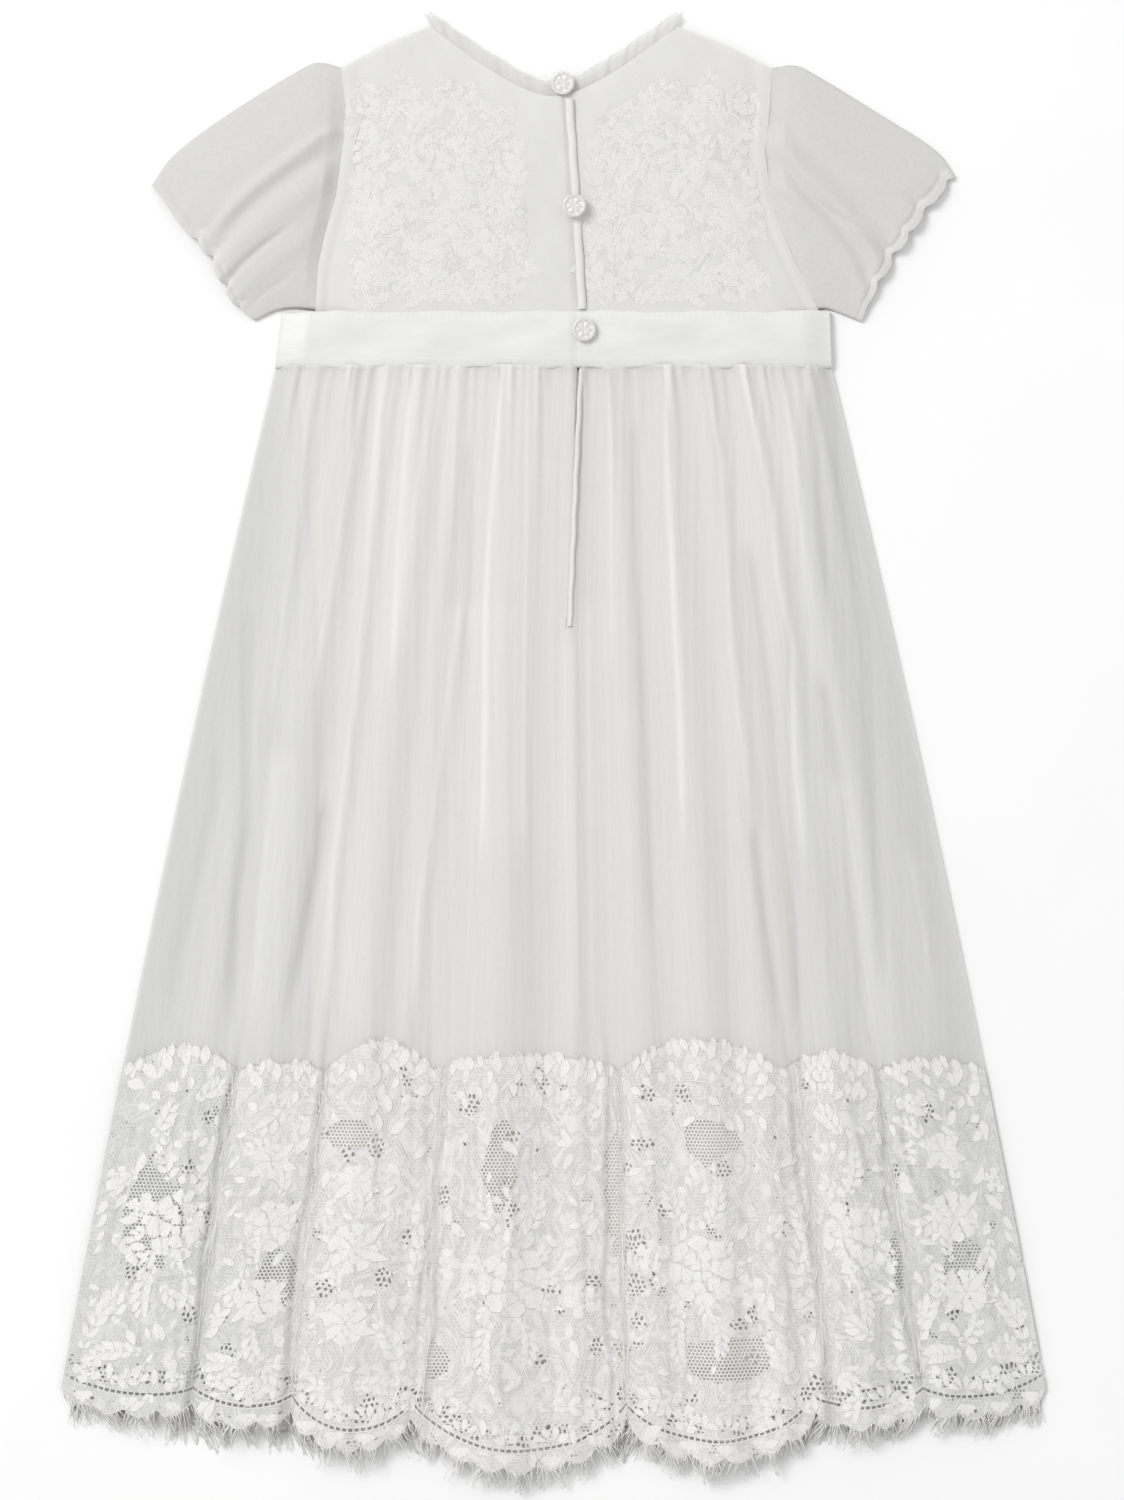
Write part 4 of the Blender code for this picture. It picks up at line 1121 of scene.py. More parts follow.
hem = Work()
for number, (left, right, _, arch, small) in enumerate(BACK_SCALLOPS):
    start, stop = lace_length(np.array([left, right]))
    middle, wide = (start + stop) / 2, stop - start
    base = smooth_edge(np.array([middle]), BACK_SCALLOPS)[0]
    crest = LACE_TOP_Y + arch
    row_u = np.linspace(start + 0.5, stop - 0.5, 72)
    for off in (BEAD_ROW - 1.0, BEAD_ROW + 1.0):
        hem.cords.append(np.stack([row_u, smooth_edge(row_u, BACK_SCALLOPS) + off], -1))
    span = wide / small
    for i in range(small):
        centre = start + wide * (i + 0.5) / small
        edge = hem_edge(np.array([centre]))[0][0]
        for turn, reach in ((90, 4.6), (55, 4.0), (125, 4.0), (22, 4.2), (158, 4.2)):
            hem.leaf(centre, edge + 5.6, turn + 180, reach, 2.3, 0.0, 0.8)
        if i % 2 == number % 2:
            hem.blossom(centre, edge + 14.5, min(5.6, span * 0.42), 36 + 20 * i)
        else:
            hem.arch(centre, edge + 11.0, 2.5, 1.5, 30, 150, 4, 5.2, 2.6)
        hem.leaf(centre + span / 2, edge + 10.5, 90, 7.0, 3.0, 0.1, 0.5)
    for side in (-1, 1):
        hem.scroll(middle + side * wide * 0.10, base + 23, 90 - side * 78, wide * 0.34, 6.4, -side * 34, 7)
        hem.scroll(middle + side * wide * 0.42, base + 24, 90 + side * 6, 34, 6.8, side * 40, 7)
        hem.scroll(middle + side * wide * 0.46, base + 62, 90 + side * 4, 36, 6.6, -side * 36, 7)
        hem.blossom(middle + side * wide * 0.36, base + 40, 5.6, 20 * number)
        hem.blossom(middle + side * wide * 0.40, base + 92, 5.0, 50 * number)
    hem.arch(middle, crest - 24, wide * 0.38, 17, 12, 168, max(7, round(wide / 6.5)), 8.5, 5.0)
    hem.arch(middle, crest - 29, wide * 0.30, 13, 20, 160, max(5, round(wide / 9)), 5.5, 3.6)
    for i in range(max(3, round(wide / 11))):
        hem.leaf(start + 11 * (i + 0.5), crest - 9 - arch * 0.4, rng.uniform(60, 120), 6.0, 3.4, 0.1, 0.8)
    for u in np.arange(start + 2.0, stop - 1.0, 4.4):
        top = hem_edge(np.array([u]))[1][0]
        down, lean, long, broad = drawn((3.0, 4.6), (52, 128), (5.3, 6.8), (3.0, 4.4))
        hem.leaf(u, top - down, lean, long, broad, 0.1, 0.8)
    if wide > 60:
        heart = base + 74
        hem.rose(middle + 1.5, heart, 14.0, 20)
        for turn in (150, 190, 230, 275, 320, 0, 35):
            hem.scroll(*reached(middle, heart, turn, 11), turn, 11.0, 4.6, 30, 4)
        hem.arch(middle, heart + 27, 4.2, 7.0, 0, 330, 10, 4.6, 3.2)
        hem.scroll(middle - 6, heart + 18, 130, 22, 6.0, -50, 6)
        hem.scroll(middle + 6, heart + 18, 50, 22, 6.0, 50, 6)
        hem.scroll(middle - 7, heart - 16, 235, 26, 6.6, 62, 7)
        hem.scroll(middle + 6, heart - 18, 300, 20, 5.6, -55, 6)
        hem.blossom(middle - wide * 0.22, heart + 6, 6.4, 10)
        hem.blossom(middle + wide * 0.24, heart - 8, 6.8, 40)
    else:
        for rise, size in ((48.0, 8.5), (78.0, 10.0), (104.0, 7.0)):
            shift = rng.uniform(-3, 3)
            hem.rose(middle + shift, base + rise, size, 25 * number)
            for turn in (28, 152, 208, 332):
                hem.leaf(middle + shift, base + rise, turn, size * 1.6, 4.4, 0.2, 0.3)
        hem.scroll(middle - 3, base + 60, 120, 18, 5.0, -70, 6)
        hem.scroll(middle + 3, base + 90, 60, 16, 5.0, 70, 5)


def room_round(taken, u, v):
    """The square of the distance to the nearest of the points taken."""
    return np.min((taken[:, 0] - u) ** 2 + (taken[:, 1] - v) ** 2)


# Scrolls towards the sides, where the work is thin, and small leaves, away from the net windows
SPARSE_FROM = 132
SCATTERED = 260
taken = np.array([(0.0, 0.0)])
for u, v in rng.uniform((-262, -272), (262, -138), (420, 2)):
    if abs(u) < SPARSE_FROM or in_window(u, v) or room_round(taken, u, v) < 250:
        continue
    turn, long, wide = drawn((0, 360), (14, 21), (5.4, 7.2))
    hem.scroll(u, v, turn, long, wide, rng.choice([-1, 1]) * rng.uniform(40, 95), 5)
    taken = np.vstack([taken, [u, v]])
taken = np.array([
    (u + long / 2 * math.cos(a), v + long / 2 * math.sin(a)) for u, v, a, long, *_ in hem.leaves
])
spare = SCATTERED
for u, v in rng.uniform((-265, -284), (265, -124), (4200, 2)):
    crowded = room_round(taken, u, v) < 17.0
    if spare == 0 or crowded or in_window(u, v) or (abs(u) < SPARSE_FROM and rng.uniform() < 0.6):
        continue
    hem.loose_leaf(u, v, 0.42, 1.0)
    taken = np.vstack([taken, [u, v]])
    spare -= 1

lay_work("lace_back", hem, on_back, "work", "cord", in_sight, in_band)


# Fringe: fine uneven threads below each lace edge

def fringe_threads(node_name, scallops, height, count, upper=0):
    """Threads at the hem, and short ones along the lace's top edge."""
    total = count + upper
    s = np.sort(rng.uniform(-0.999, 0.999, total))
    at_top = np.zeros(total, bool)
    at_top[rng.permutation(total)[:upper]] = True
    drop, arch = scallop_edges(scallops, s)
    y0 = np.where(at_top, LACE_TOP_Y + arch - 0.3, HEM_Y - drop + 0.5)
    x0 = across_skirt(s, y0)
    z0 = height(x0, y0) + np.where(at_top, 0.12, 0.0)
    length = np.where(at_top, rng.uniform(1.2, 3.4, total), rng.uniform(3.0, 10.0, total))
    tuft = np.sin(s * 95 + 2 * np.sin(s * 31))
    lean = rng.normal(0, 0.16, total) + 0.45 * tuft - 0.2 * s
    curl = rng.normal(0, 1.1, total)
    low = (1 - at_top)[:, None]
    x0, y0, z0, length, lean, curl = (a[:, None] for a in (x0, y0, z0, length, lean, curl))
    t = np.linspace(0, 1, 6)[None, :]
    x = x0 + length * (lean * t + 0.14 * curl * np.sin(2.6 * t))
    y = y0 + (1 - 2 * low) * length * t * (1 - 0.1 * np.abs(lean))
    sink = (z0 - 0.5) * smooth(t) * rng.uniform(0.2, 0.85, total)[:, None] * low
    z = np.maximum(z0 - sink + 0.4 * np.sin(3 * t + curl) * low, 0.2)
    radius = np.where(low, 0.27, 0.12) * (1 - 0.5 * t) * rng.uniform(0.8, 1.25, total)[:, None]
    points, faces = tubes(np.stack([x, y, z], -1), radius, 3)
    add_piece(node_name, "threads", points, faces, points[:, :2] * 2.0, "thread")


fringe_threads("fringe_back", BACK_SCALLOPS, back_surface, 1100, upper=300)
fringe_threads("fringe_front", FRONT_SCALLOPS, lambda x, y: 0.5 + 0 * x, 800)


# Bodice

def neck_curve(x, centre_y, end_y, half, power):
    low = NECK_EASE**power
    share = ((x / half) ** 2 + NECK_EASE**2) ** (power / 2) - low
    return centre_y + (end_y - centre_y) * share / ((1 + NECK_EASE**2) ** (power / 2) - low)


def back_seam_y(x):
    return neck_curve(x, BACK_NECK_Y, SHOULDER_NECK_Y, NECK_HALF, BACK_NECK_POWER)


def front_seam_y(x):
    return neck_curve(x, FRONT_NECK_Y, SHOULDER_NECK_Y, NECK_HALF, FRONT_NECK_POWER)


def armhole_point(side, share):
    y = ARMHOLES[0][0] + (SASH_TOP + SEAM - ARMHOLES[0][0]) * share
    return np.stack([along(ARMHOLES, y, 1 if side < 0 else 2), y + 0 * share], -1)


def armhole_room(x, y):
    """How far points lie inside the nearer armhole seam."""
    return np.minimum(x - along(ARMHOLES, y, 1), along(ARMHOLES, y, 2) - x)


def bodice_height(x, y):
    """Height of the inner face of the back of the bodice."""
    return 1.5 + 2.4 * smooth(armhole_room(x, y) / 26 + 0.12) * smooth((286 - y) / 60)


def bodice_surface(x, y):
    """The back of the bodice in the middle of its solid's wall, a little uneven as thin cloth lies."""
    rumple = (
        0.16 * np.sin(x * 0.11 + y * 0.19 + 1.3 * np.sin(y * 0.05)) + 0.13 * np.sin(x * 0.27 - y * 0.09)
        + 0.08 * np.sin(x * 0.63 + y * 0.37)
    )
    return bodice_height(x, y) + 0.62 + rumple


# Where the bodice's lace is closely worked: out from the opening, height, half width, half height
SPRAYS = (
    (32.0, 204.0, 17.0, 13.0), (60.0, 208.0, 17.0, 18.0), (24.0, 182.0, 13.0, 9.0), (50.0, 184.0, 15.0, 9.0),
    (72.0, 188.0, 11.0, 14.0), (46.0, 236.0, 14.0, 11.0), (68.0, 234.0, 10.0, 12.0), (28.0, 230.0, 9.0, 10.0),
    (60.0, 256.0, 11.0, 9.0), (40.0, 258.0, 10.0, 7.0), (15.0, 204.0, 6.0, 12.0), (76.0, 252.0, 7.0, 12.0),
    (20.0, 240.0, 6.0, 14.0),
)


def opening_shift(side):
    """How far right-hand sprays are moved out, past the opening's folded edge."""
    return 2.0 if side > 0 else 0.0


def spray_field(side, x, y):
    dense = np.zeros_like(x)
    out = side * x - opening_shift(side)
    for u, v, reach_u, reach_v in SPRAYS:
        away = np.sqrt(((out - u) / reach_u) ** 2 + ((y - v) / reach_v) ** 2)
        dense = np.maximum(dense, 0.95 * bell(away ** 1.5))
    return dense


def bodice_half(side, node_name):
    inner_edge = 0.8 if side < 0 else SEAM / 2
    neck_x = along(CENTRE_LINE, BACK_NECK_Y) + inner_edge
    neck_y = back_seam_y(neck_x)
    corner, end = armhole_point(side, np.array(0.0)), armhole_point(side, np.array(1.0))

    def top(a):
        f = np.clip(a / SHOULDER_SHARE, 0, 1)
        slope = a <= SHOULDER_SHARE
        x = side * NECK_HALF + (neck_x - side * NECK_HALF) * (a - SHOULDER_SHARE) / (1 - SHOULDER_SHARE)
        x = np.where(slope, corner[0] + (side * NECK_HALF - corner[0]) * f, x)
        y = np.where(slope, corner[1] + (SHOULDER_NECK_Y - corner[1]) * f, back_seam_y(x))
        return np.stack([x, y + 1.3 * np.sin(math.pi * f)], -1)

    def bottom(a):
        centre = along(CENTRE_LINE, end[1]) + inner_edge
        return np.stack([end[0] + (centre - end[0]) * a, end[1] + 0 * a], -1)

    def inner(b):
        y = neck_y + (SASH_TOP + SEAM - neck_y) * b
        return np.stack([along(CENTRE_LINE, y) + inner_edge, y], -1)

    a, b = shares_of(*GRIDS["bodice_back"])
    flat = patch(top, bottom, lambda share: armhole_point(side, share), inner, a, b)
    x, y = flat[..., 0], flat[..., 1]
    z = bodice_surface(x, y)
    z = z + 0.35 * bell((a - 0.014) / 0.012) - 0.2 * bell((a - 0.04) / 0.014)
    if side < 0:
        z = z - 0.35 * smooth((a - 0.97) / 0.02)
    y[-1] -= 1.3
    x[:, 0] += side * 0.5
    cloth(node_name, x, y, z, "bodice", attributes={"dense": spray_field(side, x, y)})


def bodice_whole(node_name):
    """The front, with the same shoulders and a deeper neck."""
    corners = [armhole_point(side, np.array(0.0)) for side in (-1, 1)]
    ends = [armhole_point(side, np.array(1.0)) for side in (-1, 1)]

    def top(a):
        f = np.clip(np.minimum(a, 1 - a) / SHOULDER_SHARE, 0, 1)
        side = np.where(a < 0.5, -1.0, 1.0)
        corner_x = np.where(a < 0.5, corners[0][0], corners[1][0])
        neck_x = -NECK_HALF + 2 * NECK_HALF * (a - SHOULDER_SHARE) / (1 - 2 * SHOULDER_SHARE)
        x = np.where(f < 1, corner_x + (side * NECK_HALF - corner_x) * f, neck_x)
        y = np.where(f < 1, corners[0][1] + (SHOULDER_NECK_Y - corners[0][1]) * f, front_seam_y(x))
        return np.stack([x, y], -1)

    def bottom(a):
        return np.stack([ends[0][0] + (ends[1][0] - ends[0][0]) * a, ends[0][1] + 0 * a], -1)

    a, b = shares_of(*GRIDS["bodice_front"])
    flat = patch(top, bottom, lambda v: armhole_point(-1, v), lambda v: armhole_point(1, v), a, b)
    x, y = flat[..., 0], flat[..., 1]
    cloth(node_name, x, y, 1.0 + 0.1 * np.sin(x * 0.3) * np.sin(y * 0.2), "bodice")


bodice_half(-1, "bodice_back_left")
bodice_half(1, "bodice_back_right")
bodice_whole("bodice_front")


# Lace sprays on the bodice, nearly the same on both sides of the opening

BLOSSOMS = (
    # out from the opening, height, radius, turn
    (34, 203, 8.5, 10), (61, 214, 8.0, 40), (24, 182, 6.5, 0), (50, 183, 7.5, 20), (72, 190, 7.0, 60),
    (46, 238, 6.5, 30), (70, 236, 5.5, 0), (28, 232, 5.0, 15), (56, 198, 4.6, 50), (76, 212, 5.0, 25),
    (60, 256, 4.4, 10), (38, 256, 3.8, 30), (14.5, 200, 4.0, 0),
)
SCROLLS = (
    # out from the opening, height, angle, length, width, bend
    (40, 196, -20, 20, 6.0, 60), (28, 208, 120, 18, 5.5, -70), (54, 210, 160, 18, 5.5, 60),
    (66, 206, 60, 20, 6.0, -50), (22, 188, 80, 20, 5.5, 30), (44, 182, 200, 16, 5.5, 40),
    (56, 186, 20, 18, 5.5, -50), (76, 196, 100, 20, 5.5, 30), (36, 212, 60, 20, 5.5, 50),
    (56, 220, 110, 18, 5.0, -60), (48, 244, 40, 16, 5.0, 40), (42, 244, 150, 14, 4.6, -50),
    (68, 242, 100, 16, 4.6, 30), (30, 236, 120, 14, 4.6, 40), (18, 206, 70, 20, 4.8, 20),
    (26, 224, 20, 14, 4.6, 60), (64, 180, 160, 16, 5.0, -20), (36, 178, 0, 18, 5.0, 20),
    (78, 180, 110, 16, 4.8, 20), (64, 258, 160, 12, 4.0, 50),
)
STEMS = (
    ((22, 206), (14.5, 222), (18, 240), (30, 254), (44, 263)),
    ((48, 218), (58, 236), (53, 254), (63, 268)),
    ((74, 214), (80, 232), (76, 250), (69, 263)),
    ((33, 214), (40, 228), (34, 244)),
    ((16, 178), (12, 192), (17, 204)),
)
spray = Work()
for u, v, radius, turn in BLOSSOMS:
    spray.blossom(u, v, radius, turn, 5 if radius < 7 else 6)
for scroll in SCROLLS:
    spray.scroll(*scroll, 6)
for stem in STEMS:
    spray.vine(stem, leaf=6.5, step=5.0, width=0.55, taper=0.35)
for u, v in rng.uniform((12, 175), (82, 268), (150, 2)):
    if rng.uniform() < 1.25 - (v - 175) / 80:
        spray.loose_leaf(u, v, 0.4, 0.7)


def lay_spray(side, node_name):
    def on_bodice(u, y):
        x = side * u + opening_shift(side)
        return x, y, bodice_surface(x, y)

    def inside(u, y):
        x = side * u + opening_shift(side)
        below_neck = y < back_seam_y(np.clip(x, -NECK_HALF, NECK_HALF)) - 2
        return (armhole_room(x, y) > 2.5) & (y > SASH_TOP + 1.2) & below_neck

    lay_work(
        node_name, spray, on_bodice, "bodice_work", "thread", inside, inside,
        cord_radius=0.12, rims_from=99.0, relief=0.5,
    )


lay_spray(-1, "bodice_back_left")
lay_spray(1, "bodice_back_right")


# Gathered edging along the neck

def ruffle(a, count, seed):
    """Uneven waves from 0 to 1, so many along a."""
    turns = 2 * math.pi * count * a + 1.1 * np.sin(2 * math.pi * 1.3 * a + seed)
    return 0.5 + 0.5 * np.sin(turns + 0.5 * np.sin(17 * a + 3 * seed))


for side, node_name in ((-1, "neck_frill_back_left"), (1, "neck_frill_back_right")):
    a, out = shares_of(*GRIDS["frill_back"])
    centre = along(CENTRE_LINE, BACK_FRILL_Y) + side * SEAM / 2
    seam_x = side * NECK_HALF + (centre - side * NECK_HALF) * a
    edge_x = side * FRILL_HALF + (centre - side * FRILL_HALF) * a
    seam_y = back_seam_y(seam_x) + SEAM
    edge_y = neck_curve(edge_x, BACK_FRILL_Y, FRILL_PEAK_Y, FRILL_HALF, BACK_FRILL_POWER)
    edge_y = edge_y - 3.4 * (1 - smooth(a / 0.06))
    waves = 0.7 * ruffle(a, 5, side) + 0.2 * ruffle(a, 11, 2 + side)
    frayed = 0.3 * np.sin(a * 140) + 0.3 * np.sin(a * 83 + 2)
    x = seam_x + (edge_x - seam_x) * out
    y = seam_y - 0.6 + (edge_y - seam_y + 0.6) * out - waves * out + 0.4 * frayed * out**5
    z = EDGE_HEIGHT + 0.6 + waves * (0.4 + 0.6 * out)
    cloth(node_name, x, y, z, "edging")

a, out = shares_of(*GRIDS["frill_front"])
share = 2 * a - 1
edge_y = neck_curve(share * FRILL_HALF, FRONT_FRILL_Y, FRILL_PEAK_Y, FRILL_HALF, FRONT_NECK_POWER)
seam_y = front_seam_y(share * NECK_HALF) + SEAM
x = share * (NECK_HALF + (FRILL_HALF - NECK_HALF) * out)
waves = out * ruffle(a, 21, 0.4)
cloth("neck_frill_front", x, seam_y + (edge_y - seam_y) * out - 0.8 * waves, 0.45 + 0.35 * waves, "edging")


# Sleeves

SLEEVE_ROWS = 84
SLEEVE_UPPER = 130
SLEEVE_LOWER = 40
LEFT_NOTCHES = (
    # place along the hem, depth, width
    (0.34, 1.4, 0.024), (0.47, 2.4, 0.028), (0.66, 2.2, 0.026), (0.84, 1.2, 0.024),
)
RIGHT_NOTCHES = (
    # place along the hem, depth, width
    (0.07, 1.2, 0.030), (0.30, 1.7, 0.034), (0.46, 1.1, 0.026), (0.62, 2.2, 0.036), (0.78, 1.4, 0.028),
)
LEFT_FOLDS = (
    # place at the armhole, place at the hem, rise, width, from, to
    (0.27, 0.42, 1.5, 0.036, -0.2, 0.8),
    (0.36, 0.48, -1.1, 0.040, 0.0, 1.2),
    (0.47, 0.58, 1.2, 0.070, 0.1, 1.2),
    (0.60, 0.66, -1.1, 0.020, 0.5, 1.2),
    (0.71, 0.78, 0.9, 0.060, 0.2, 1.2),
    (0.14, 0.22, 0.5, 0.10, 0.0, 0.8),
    (0.84, 0.90, -0.7, 0.020, 0.4, 1.2),
)
RIGHT_FOLDS = (
    # place at the armhole, place at the hem, rise, width, from, to
    (0.20, 0.66, -1.0, 0.050, -0.1, 1.1),
    (0.30, 0.80, 0.9, 0.045, -0.1, 1.1),
    (0.38, 0.88, -0.9, 0.040, 0.0, 1.2),
    (0.48, 0.95, 1.0, 0.050, -0.2, 1.1),
    (0.10, 0.34, 0.7, 0.080, 0.0, 0.9),
    (0.52, 0.62, -0.8, 0.020, 0.5, 1.2),
    (0.22, 0.32, -0.7, 0.020, 0.55, 1.2),
)


def sleeve_cloth(node_name, side, edges, gather_count, notches, folds):
    """A tube pressed flat: its upper side is puffed and drawn in at the hem, its lower side lies flat."""
    around = np.concatenate([np.linspace(0, 1, SLEEVE_UPPER), np.linspace(1, 0, SLEEVE_LOWER)[1:-1]])
    is_upper = np.concatenate([[False], np.ones(SLEEVE_UPPER - 2, bool), np.zeros(SLEEVE_LOWER - 1, bool)])
    v, u = np.meshgrid(around, np.linspace(0, 1, SLEEVE_ROWS))
    gather = 1.0 + 0 * v
    for at, _, width in notches:
        gather = gather * (1 - 0.8 * bell((v - at) / (1.5 * width)))

    def armhole(share):
        return armhole_point(side, share) + np.array([-side * 0.5, 0.0])

    def hem_line(share):
        drawn = 0.6 + 0.15 * ruffle(share, 2.0 * gather_count, 1.0)
        for at, depth, width in notches:
            drawn = drawn + depth * bell((share - at) / width)
        drawn = drawn * smooth(12 * share) * smooth(12 * (1 - share))
        return curve_at(edges["hem"], share) + np.stack([-side * 0.8 * drawn, 0.6 * drawn], -1)

    flat = patch(
        lambda share: curve_at(edges["top"], share), lambda share: curve_at(edges["under"], share),
        armhole, hem_line, u, v,
    )
    puff = 3.8 * (0.3 + 0.7 * np.sin(math.pi * (0.12 + 0.8 * u)) ** 0.8)
    for start, end, rise, width, first, last in folds:
        fade = smooth((u - first) / 0.2 + 0.5) * smooth((last - u) / 0.2 + 0.5)
        puff = puff + rise * fade * bell((v - start - (end - start) * u**1.4) / (width * (0.7 + 0.7 * u)))
    fine = ruffle(v, gather_count * 2.6, 1.0)
    puff = puff + (1.3 * gather + 0.35 * fine) * np.exp(-(1 - u) / 0.12)
    puff = puff + 0.10 * np.sin(30 * v + 9 * u) * np.sin(8 * u)
    puff = puff - 0.9 * bell((u - 0.93) / 0.018) * (0.35 + 0.65 * gather)
    top_z = 1.8 + np.maximum(puff, 0.8) * np.sin(math.pi * np.clip(v, 0, 1)) ** 0.7
    seam = armhole_point(side, v)
    seam_z = bodice_height(seam[..., 0], seam[..., 1]) + 0.45
    top_z = seam_z + (top_z - seam_z) * smooth(u / 0.2 + 0.04)
    z = np.where(is_upper[None, :], top_z, 0.5)
    # Painted light: the sleeve is made lighter at the hem's notches, through the same attribute as the
    # skirt's fold light.
    turned = 0.0 * v
    for at, _, width in notches:
        turned += 1.8 * bell((v - at) / width) * bell((u - 0.95) / 0.035)
    points = np.stack([flat[..., 0], flat[..., 1], z], -1).reshape(-1, 3)
    faces = grid_faces(*u.shape, closed=True)
    add_piece(node_name, "cloth", points, [faces], points[:, :2], "sleeve", {"doubling_and_painted_light": turned})


sleeve_cloth("sleeve_left", -1, LEFT_SLEEVE, 4.0, LEFT_NOTCHES, LEFT_FOLDS)
sleeve_cloth("sleeve_right", 1, RIGHT_SLEEVE, 5.0, RIGHT_NOTCHES, RIGHT_FOLDS)


# Sash

SASH_WIDE = SASH_TOP - SASH_BOTTOM


def sash_end(side, y):
    top = SASH_LEFT_TOP if side < 0 else SASH_RIGHT_TOP
    return top + (side * SASH_HALF_BOTTOM - top) * (SASH_TOP - y) / SASH_WIDE


def sash_height(x, y):
    edge = SASH_WALL + SEAM
    inside = np.minimum(x - sash_end(-1, y), sash_end(1, y) - x)
    return edge + (STACK_HEIGHT + 0.3 - edge) * smooth(inside / 12.0)


for side, node_name in ((-1, "sash_back_left"), (1, "sash_back_right")):
    a, b = shares_of(*GRIDS["sash_back"])
    y = SASH_TOP - SASH_WIDE * b
    centre = along(CENTRE_LINE, y) + side * SEAM / 2
    x = sash_end(side, y) + (centre - sash_end(side, y)) * a
    edge = np.minimum(b, 1 - b) * SASH_WIDE
    y = y + (0.4 * np.sin(x * 0.16 + side) + 0.15 * np.sin(x * 0.53)) * (2 * b - 1)
    stitches = 0.5 + 0.5 * np.cos(2 * math.pi * x / STITCH_PITCH)
    z = sash_height(x, y) + SASH_WALL + 0.35 * np.sin(math.pi * b)
    z = z - 0.45 * bell((edge - 1.5) / 0.45) * (0.55 + 0.45 * stitches) - 0.8 * bell(edge / 0.8)
    z = z + 0.22 * np.sin(x * 0.13 + 5 * b + side) * np.sin(math.pi * b)
    if side < 0:
        x = x + (SEAM + 0.6) * smooth((a - 0.96) / 0.04)
        z = z - 0.4 * smooth((a - 0.97) / 0.03)
    cloth(node_name, x, y, z, "satin", thick=1.0)

a, b = shares_of(*GRIDS["sash_front"])
y = SASH_TOP - SASH_WIDE * b
x = sash_end(-1, y) + (sash_end(1, y) - sash_end(-1, y)) * a
z = 1.55 - 0.1 * bell((np.minimum(b, 1 - b) - 0.06) / 0.03)
cloth("sash_front", x, y, z, "satin", thick=1.3)


# Folded edges of the back opening, each above the highest cloth near it

PLACKETS = (
    # name, top, bottom, width, height function, wall below
    ("bodice_placket", BACK_NECK_Y - 1, SASH_TOP + 2 * SEAM, 3.2, bodice_height, BODICE_WALL),
    ("skirt_placket", SKIRT_TOP - 2 * SEAM, SLIT_END_Y - 2, 2.0, skirt_height, WALL),
)
for node_name, first, last, width, height, below in PLACKETS:
    a, b = shares_of(*GRIDS["placket"])
    y = first + (last - first) * b
    x = along(CENTRE_LINE, y) + 0.55 + width * a + 0.12 * np.sin(y * 0.4)
    near = np.max([height(x + dx, y + dy) for dx in (-1.2, 0.0, 1.2) for dy in (-4.0, 0.0, 4.0)], axis=0)
    edges = bell(a / 0.16) + bell((1 - a) / 0.16)
    z = near + 1.25 * below + 0.25 + 0.2 * np.sin(math.pi * a) - 0.55 * edges
    cloth(node_name, x, y, z, "binding", thick=0.3)


# Buttons: clear, with a ridged rim and a carved face

BUTTON_TURNS = 72
BUTTON_PROFILE = (
    # out, up
    (0.14, 2.05), (0.28, 1.95), (0.42, 2.1), (0.56, 1.95), (0.68, 1.85), (0.74, 2.05), (0.80, 2.4),
    (0.87, 2.5), (0.94, 2.35), (1.0, 1.85), (0.985, 1.4), (0.92, 1.15), (0.6, 0.95), (0.35, 0.8), (0.3, 0.0),
)


def button(node_name, x, y, z, tilt=0):
    out, up = (np.array(column)[:, None] for column in zip(*BUTTON_PROFILE))
    a = np.arange(BUTTON_TURNS) * 2 * math.pi / BUTTON_TURNS
    petals = np.cos(6 * a) * bell((out - 0.42) / 0.2)
    rim = np.cos(24 * a) * bell((out - 0.87) / 0.08)
    out = out * BUTTON_RADIUS
    points = np.stack([out * np.cos(a), out * np.sin(a), up + 0.28 * petals + 0.10 * rim], -1).reshape(-1, 3)
    points = np.vstack([points, [[0, 0, 1.6]]])
    first = np.arange(BUTTON_TURNS)
    fan = np.stack([np.full(BUTTON_TURNS, len(points) - 1), first, np.roll(first, -1)], -1)
    faces = grid_faces(len(BUTTON_PROFILE), BUTTON_TURNS, closed=True)
    lean, rise = math.sin(math.radians(tilt)), math.cos(math.radians(tilt))
    px, py, pz = points.T
    tipped = np.stack([px * rise + pz * lean + x, py + y, pz * rise - px * lean + z], -1)
    add_piece(node_name, "turned", tipped, [faces, fan], points[:, :2], "button")


button("button_neck", 3.8, 262.8, EDGE_HEIGHT + WALL + 3 * SEAM, -4)
button("button_bodice", 8.3, 213.4, bodice_height(8.3, 213.4) + 1.6 * BODICE_WALL + 5 * SEAM)
button("button_sash", 12.2, 164.2, sash_height(12.2, 164.2) + SASH_WALL + 0.5 + SEAM)


# The floor, the light and the camera, in metres

FLOOR_REACH = 3.0
mesh = bpy.data.meshes.new("floor")
corners = [(x * FLOOR_REACH, y * FLOOR_REACH, 0) for x, y in ((-1, -1), (1, -1), (1, 1), (-1, 1))]
mesh.from_pydata(corners, [], [(0, 1, 2, 3)])
floor = bpy.data.objects.new("floor", mesh)
bpy.context.scene.collection.objects.link(floor)
paper = Look("floor_paper", {"Roughness": 0.9, "Specular IOR Level": 0.1})
grain = paper.node("TexNoise", {"Scale": 60.0, "Detail": 3.0}).outputs["Fac"]
paper.give("Base Color", paper.blend(grain, (0.93, 0.93, 0.935, 1), (0.95, 0.95, 0.955, 1)))
mesh.materials.append(paper.material)

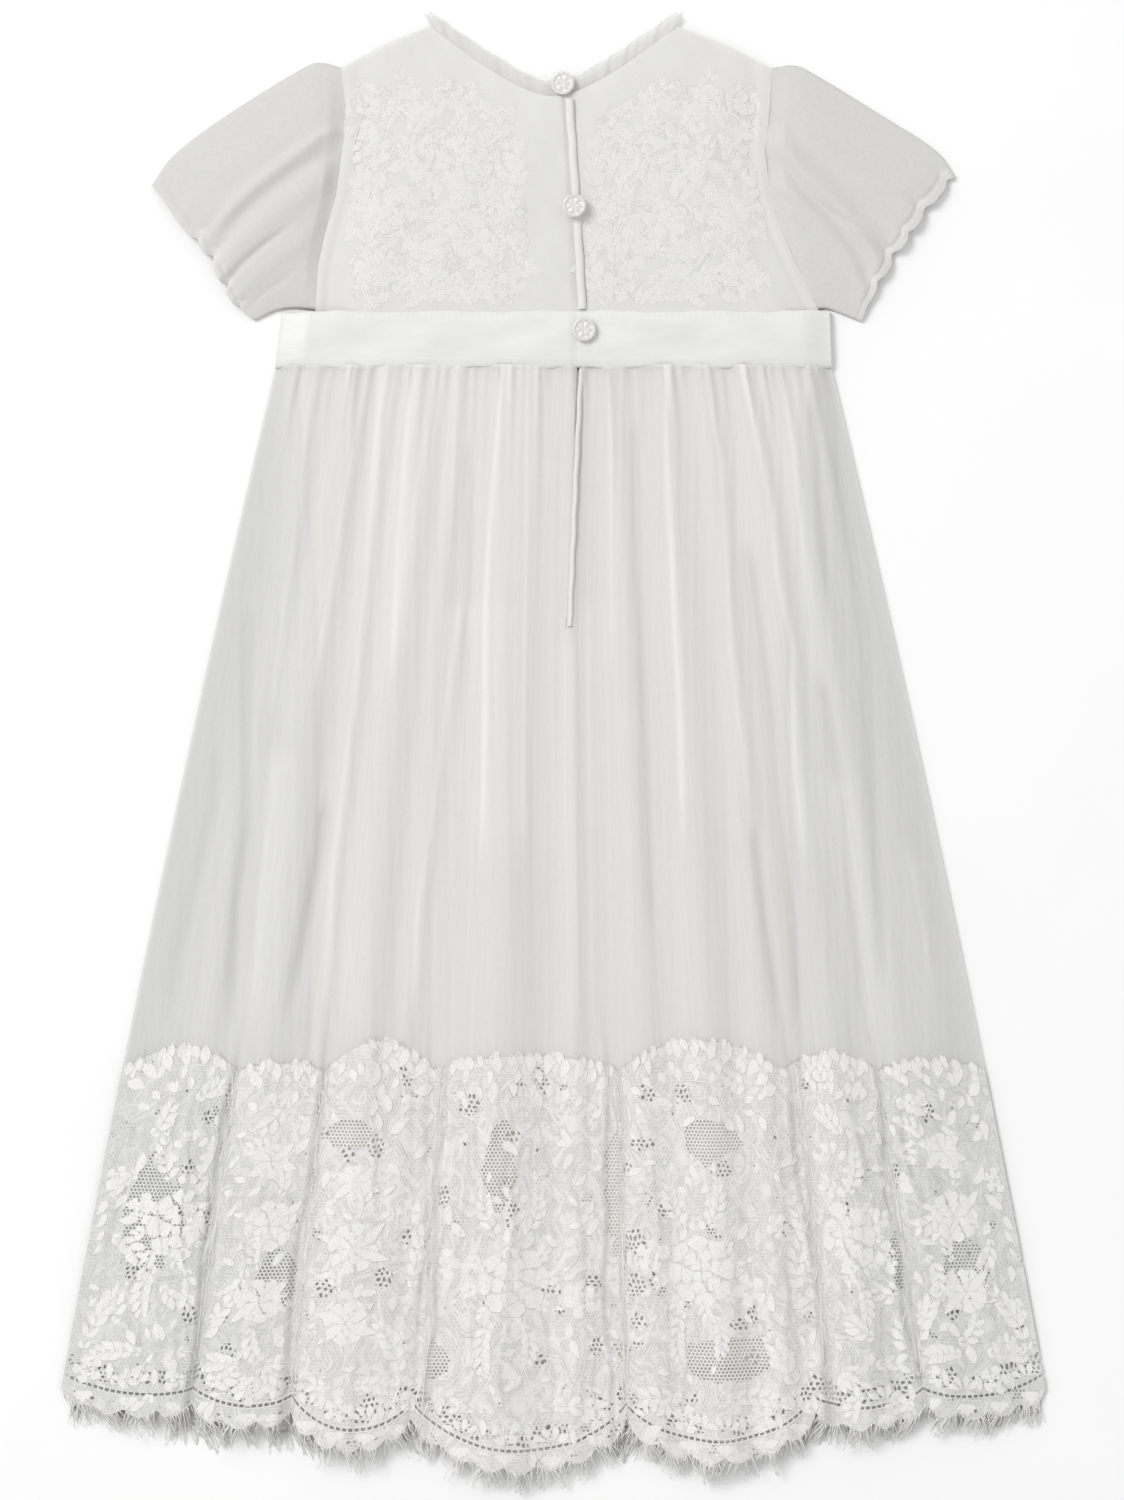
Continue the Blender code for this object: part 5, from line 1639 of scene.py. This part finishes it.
lamp = bpy.data.lights.new("key", "AREA")
lamp.shape = "DISK"
lamp.size = 1.5
lamp.energy = 54.0
lamp.color = (1.0, 0.997, 0.99)
key = bpy.data.objects.new("key", lamp)
key.location = (-1.6, 1.3, 2.6)
key.rotation_euler = (-key.location).to_track_quat("-Z", "Y").to_euler()
bpy.context.scene.collection.objects.link(key)

world = bpy.data.worlds.new("studio")
bpy.context.scene.world = world
world.use_nodes = True
background = world.node_tree.nodes["Background"].inputs
background["Color"].default_value = (0.99, 0.99, 0.985, 1)
background["Strength"].default_value = 0.70

FRAME_HEIGHT = 0.6
CAMERA_HEIGHT = 1.7
camera = bpy.data.objects.new("camera", bpy.data.cameras.new("camera"))
bpy.context.scene.collection.objects.link(camera)
camera.location = (0.0034, -0.0032, CAMERA_HEIGHT)
camera.data.sensor_fit = "VERTICAL"
camera.data.sensor_height = 24.0
camera.data.lens = camera.data.sensor_height * CAMERA_HEIGHT / FRAME_HEIGHT
camera.data.clip_start = 0.01
bpy.context.scene.camera = camera
bpy.context.scene.view_settings.view_transform = "Standard"

SHEETS = (
    # piece, flat width and length, flat area or None, held, rests on, trims on it
    ("skirt_back_left", (0.205, 0.283), 0.0500, "gathered", ("lining_back_cloth", "skirt_front_cloth"), ()),
    (
        "skirt_back_right", (0.190, 0.283), 0.0465, "gathered", ("lining_back_cloth", "skirt_front_cloth"),
        ("skirt_placket_cloth",),
    ),
    ("skirt_front", (0.380, 0.283), 0.0880, "gathered", ("floor",), ()),
    ("lining_front", (0.206, 0.398), None, "laid", ("skirt_front_cloth",), ()),
    ("lining_back", (0.206, 0.398), None, "laid", ("lining_front_cloth",), ()),
    (
        "lace_back", (0.500, 0.170), 0.0720, "gathered", ("lining_back_cloth", "lace_front_cloth"),
        ("lace_back_fill", "lace_back_cords", "fringe_back_threads"),
    ),
    ("lace_front", (0.410, 0.160), 0.0570, "gathered", ("floor",), ("fringe_front_threads",)),
    (
        "bodice_back_left", (0.095, 0.114), 0.0088, "laid", ("bodice_front_cloth",),
        ("bodice_back_left_fill", "bodice_back_left_cords", "neck_frill_back_left_cloth"),
    ),
    (
        "bodice_back_right", (0.098, 0.114), 0.0090, "laid", ("bodice_front_cloth",),
        (
            "bodice_back_right_fill", "bodice_back_right_cords", "neck_frill_back_right_cloth",
            "bodice_placket_cloth", "button_neck_turned", "button_bodice_turned",
        ),
    ),
    ("bodice_front", (0.200, 0.114), 0.0160, "laid", ("floor",), ("neck_frill_front_cloth",)),
    ("sleeve_left", (0.200, 0.085), 0.0125, "gathered", ("floor",), ()),
    ("sleeve_right", (0.200, 0.085), 0.0125, "gathered", ("floor",), ()),
    ("sash_back_left", (0.120, 0.023), None, "stretched", ("bodice_front_cloth",), ()),
    ("sash_back_right", (0.103, 0.023), None, "stretched", ("sash_front_cloth",), ("button_sash_turned",)),
    ("sash_front", (0.222, 0.023), None, "laid", ("floor",), ()),
)
for name, flat, area, held, rests_on, trims in SHEETS:
    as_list(rests_on)
    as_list(trims)
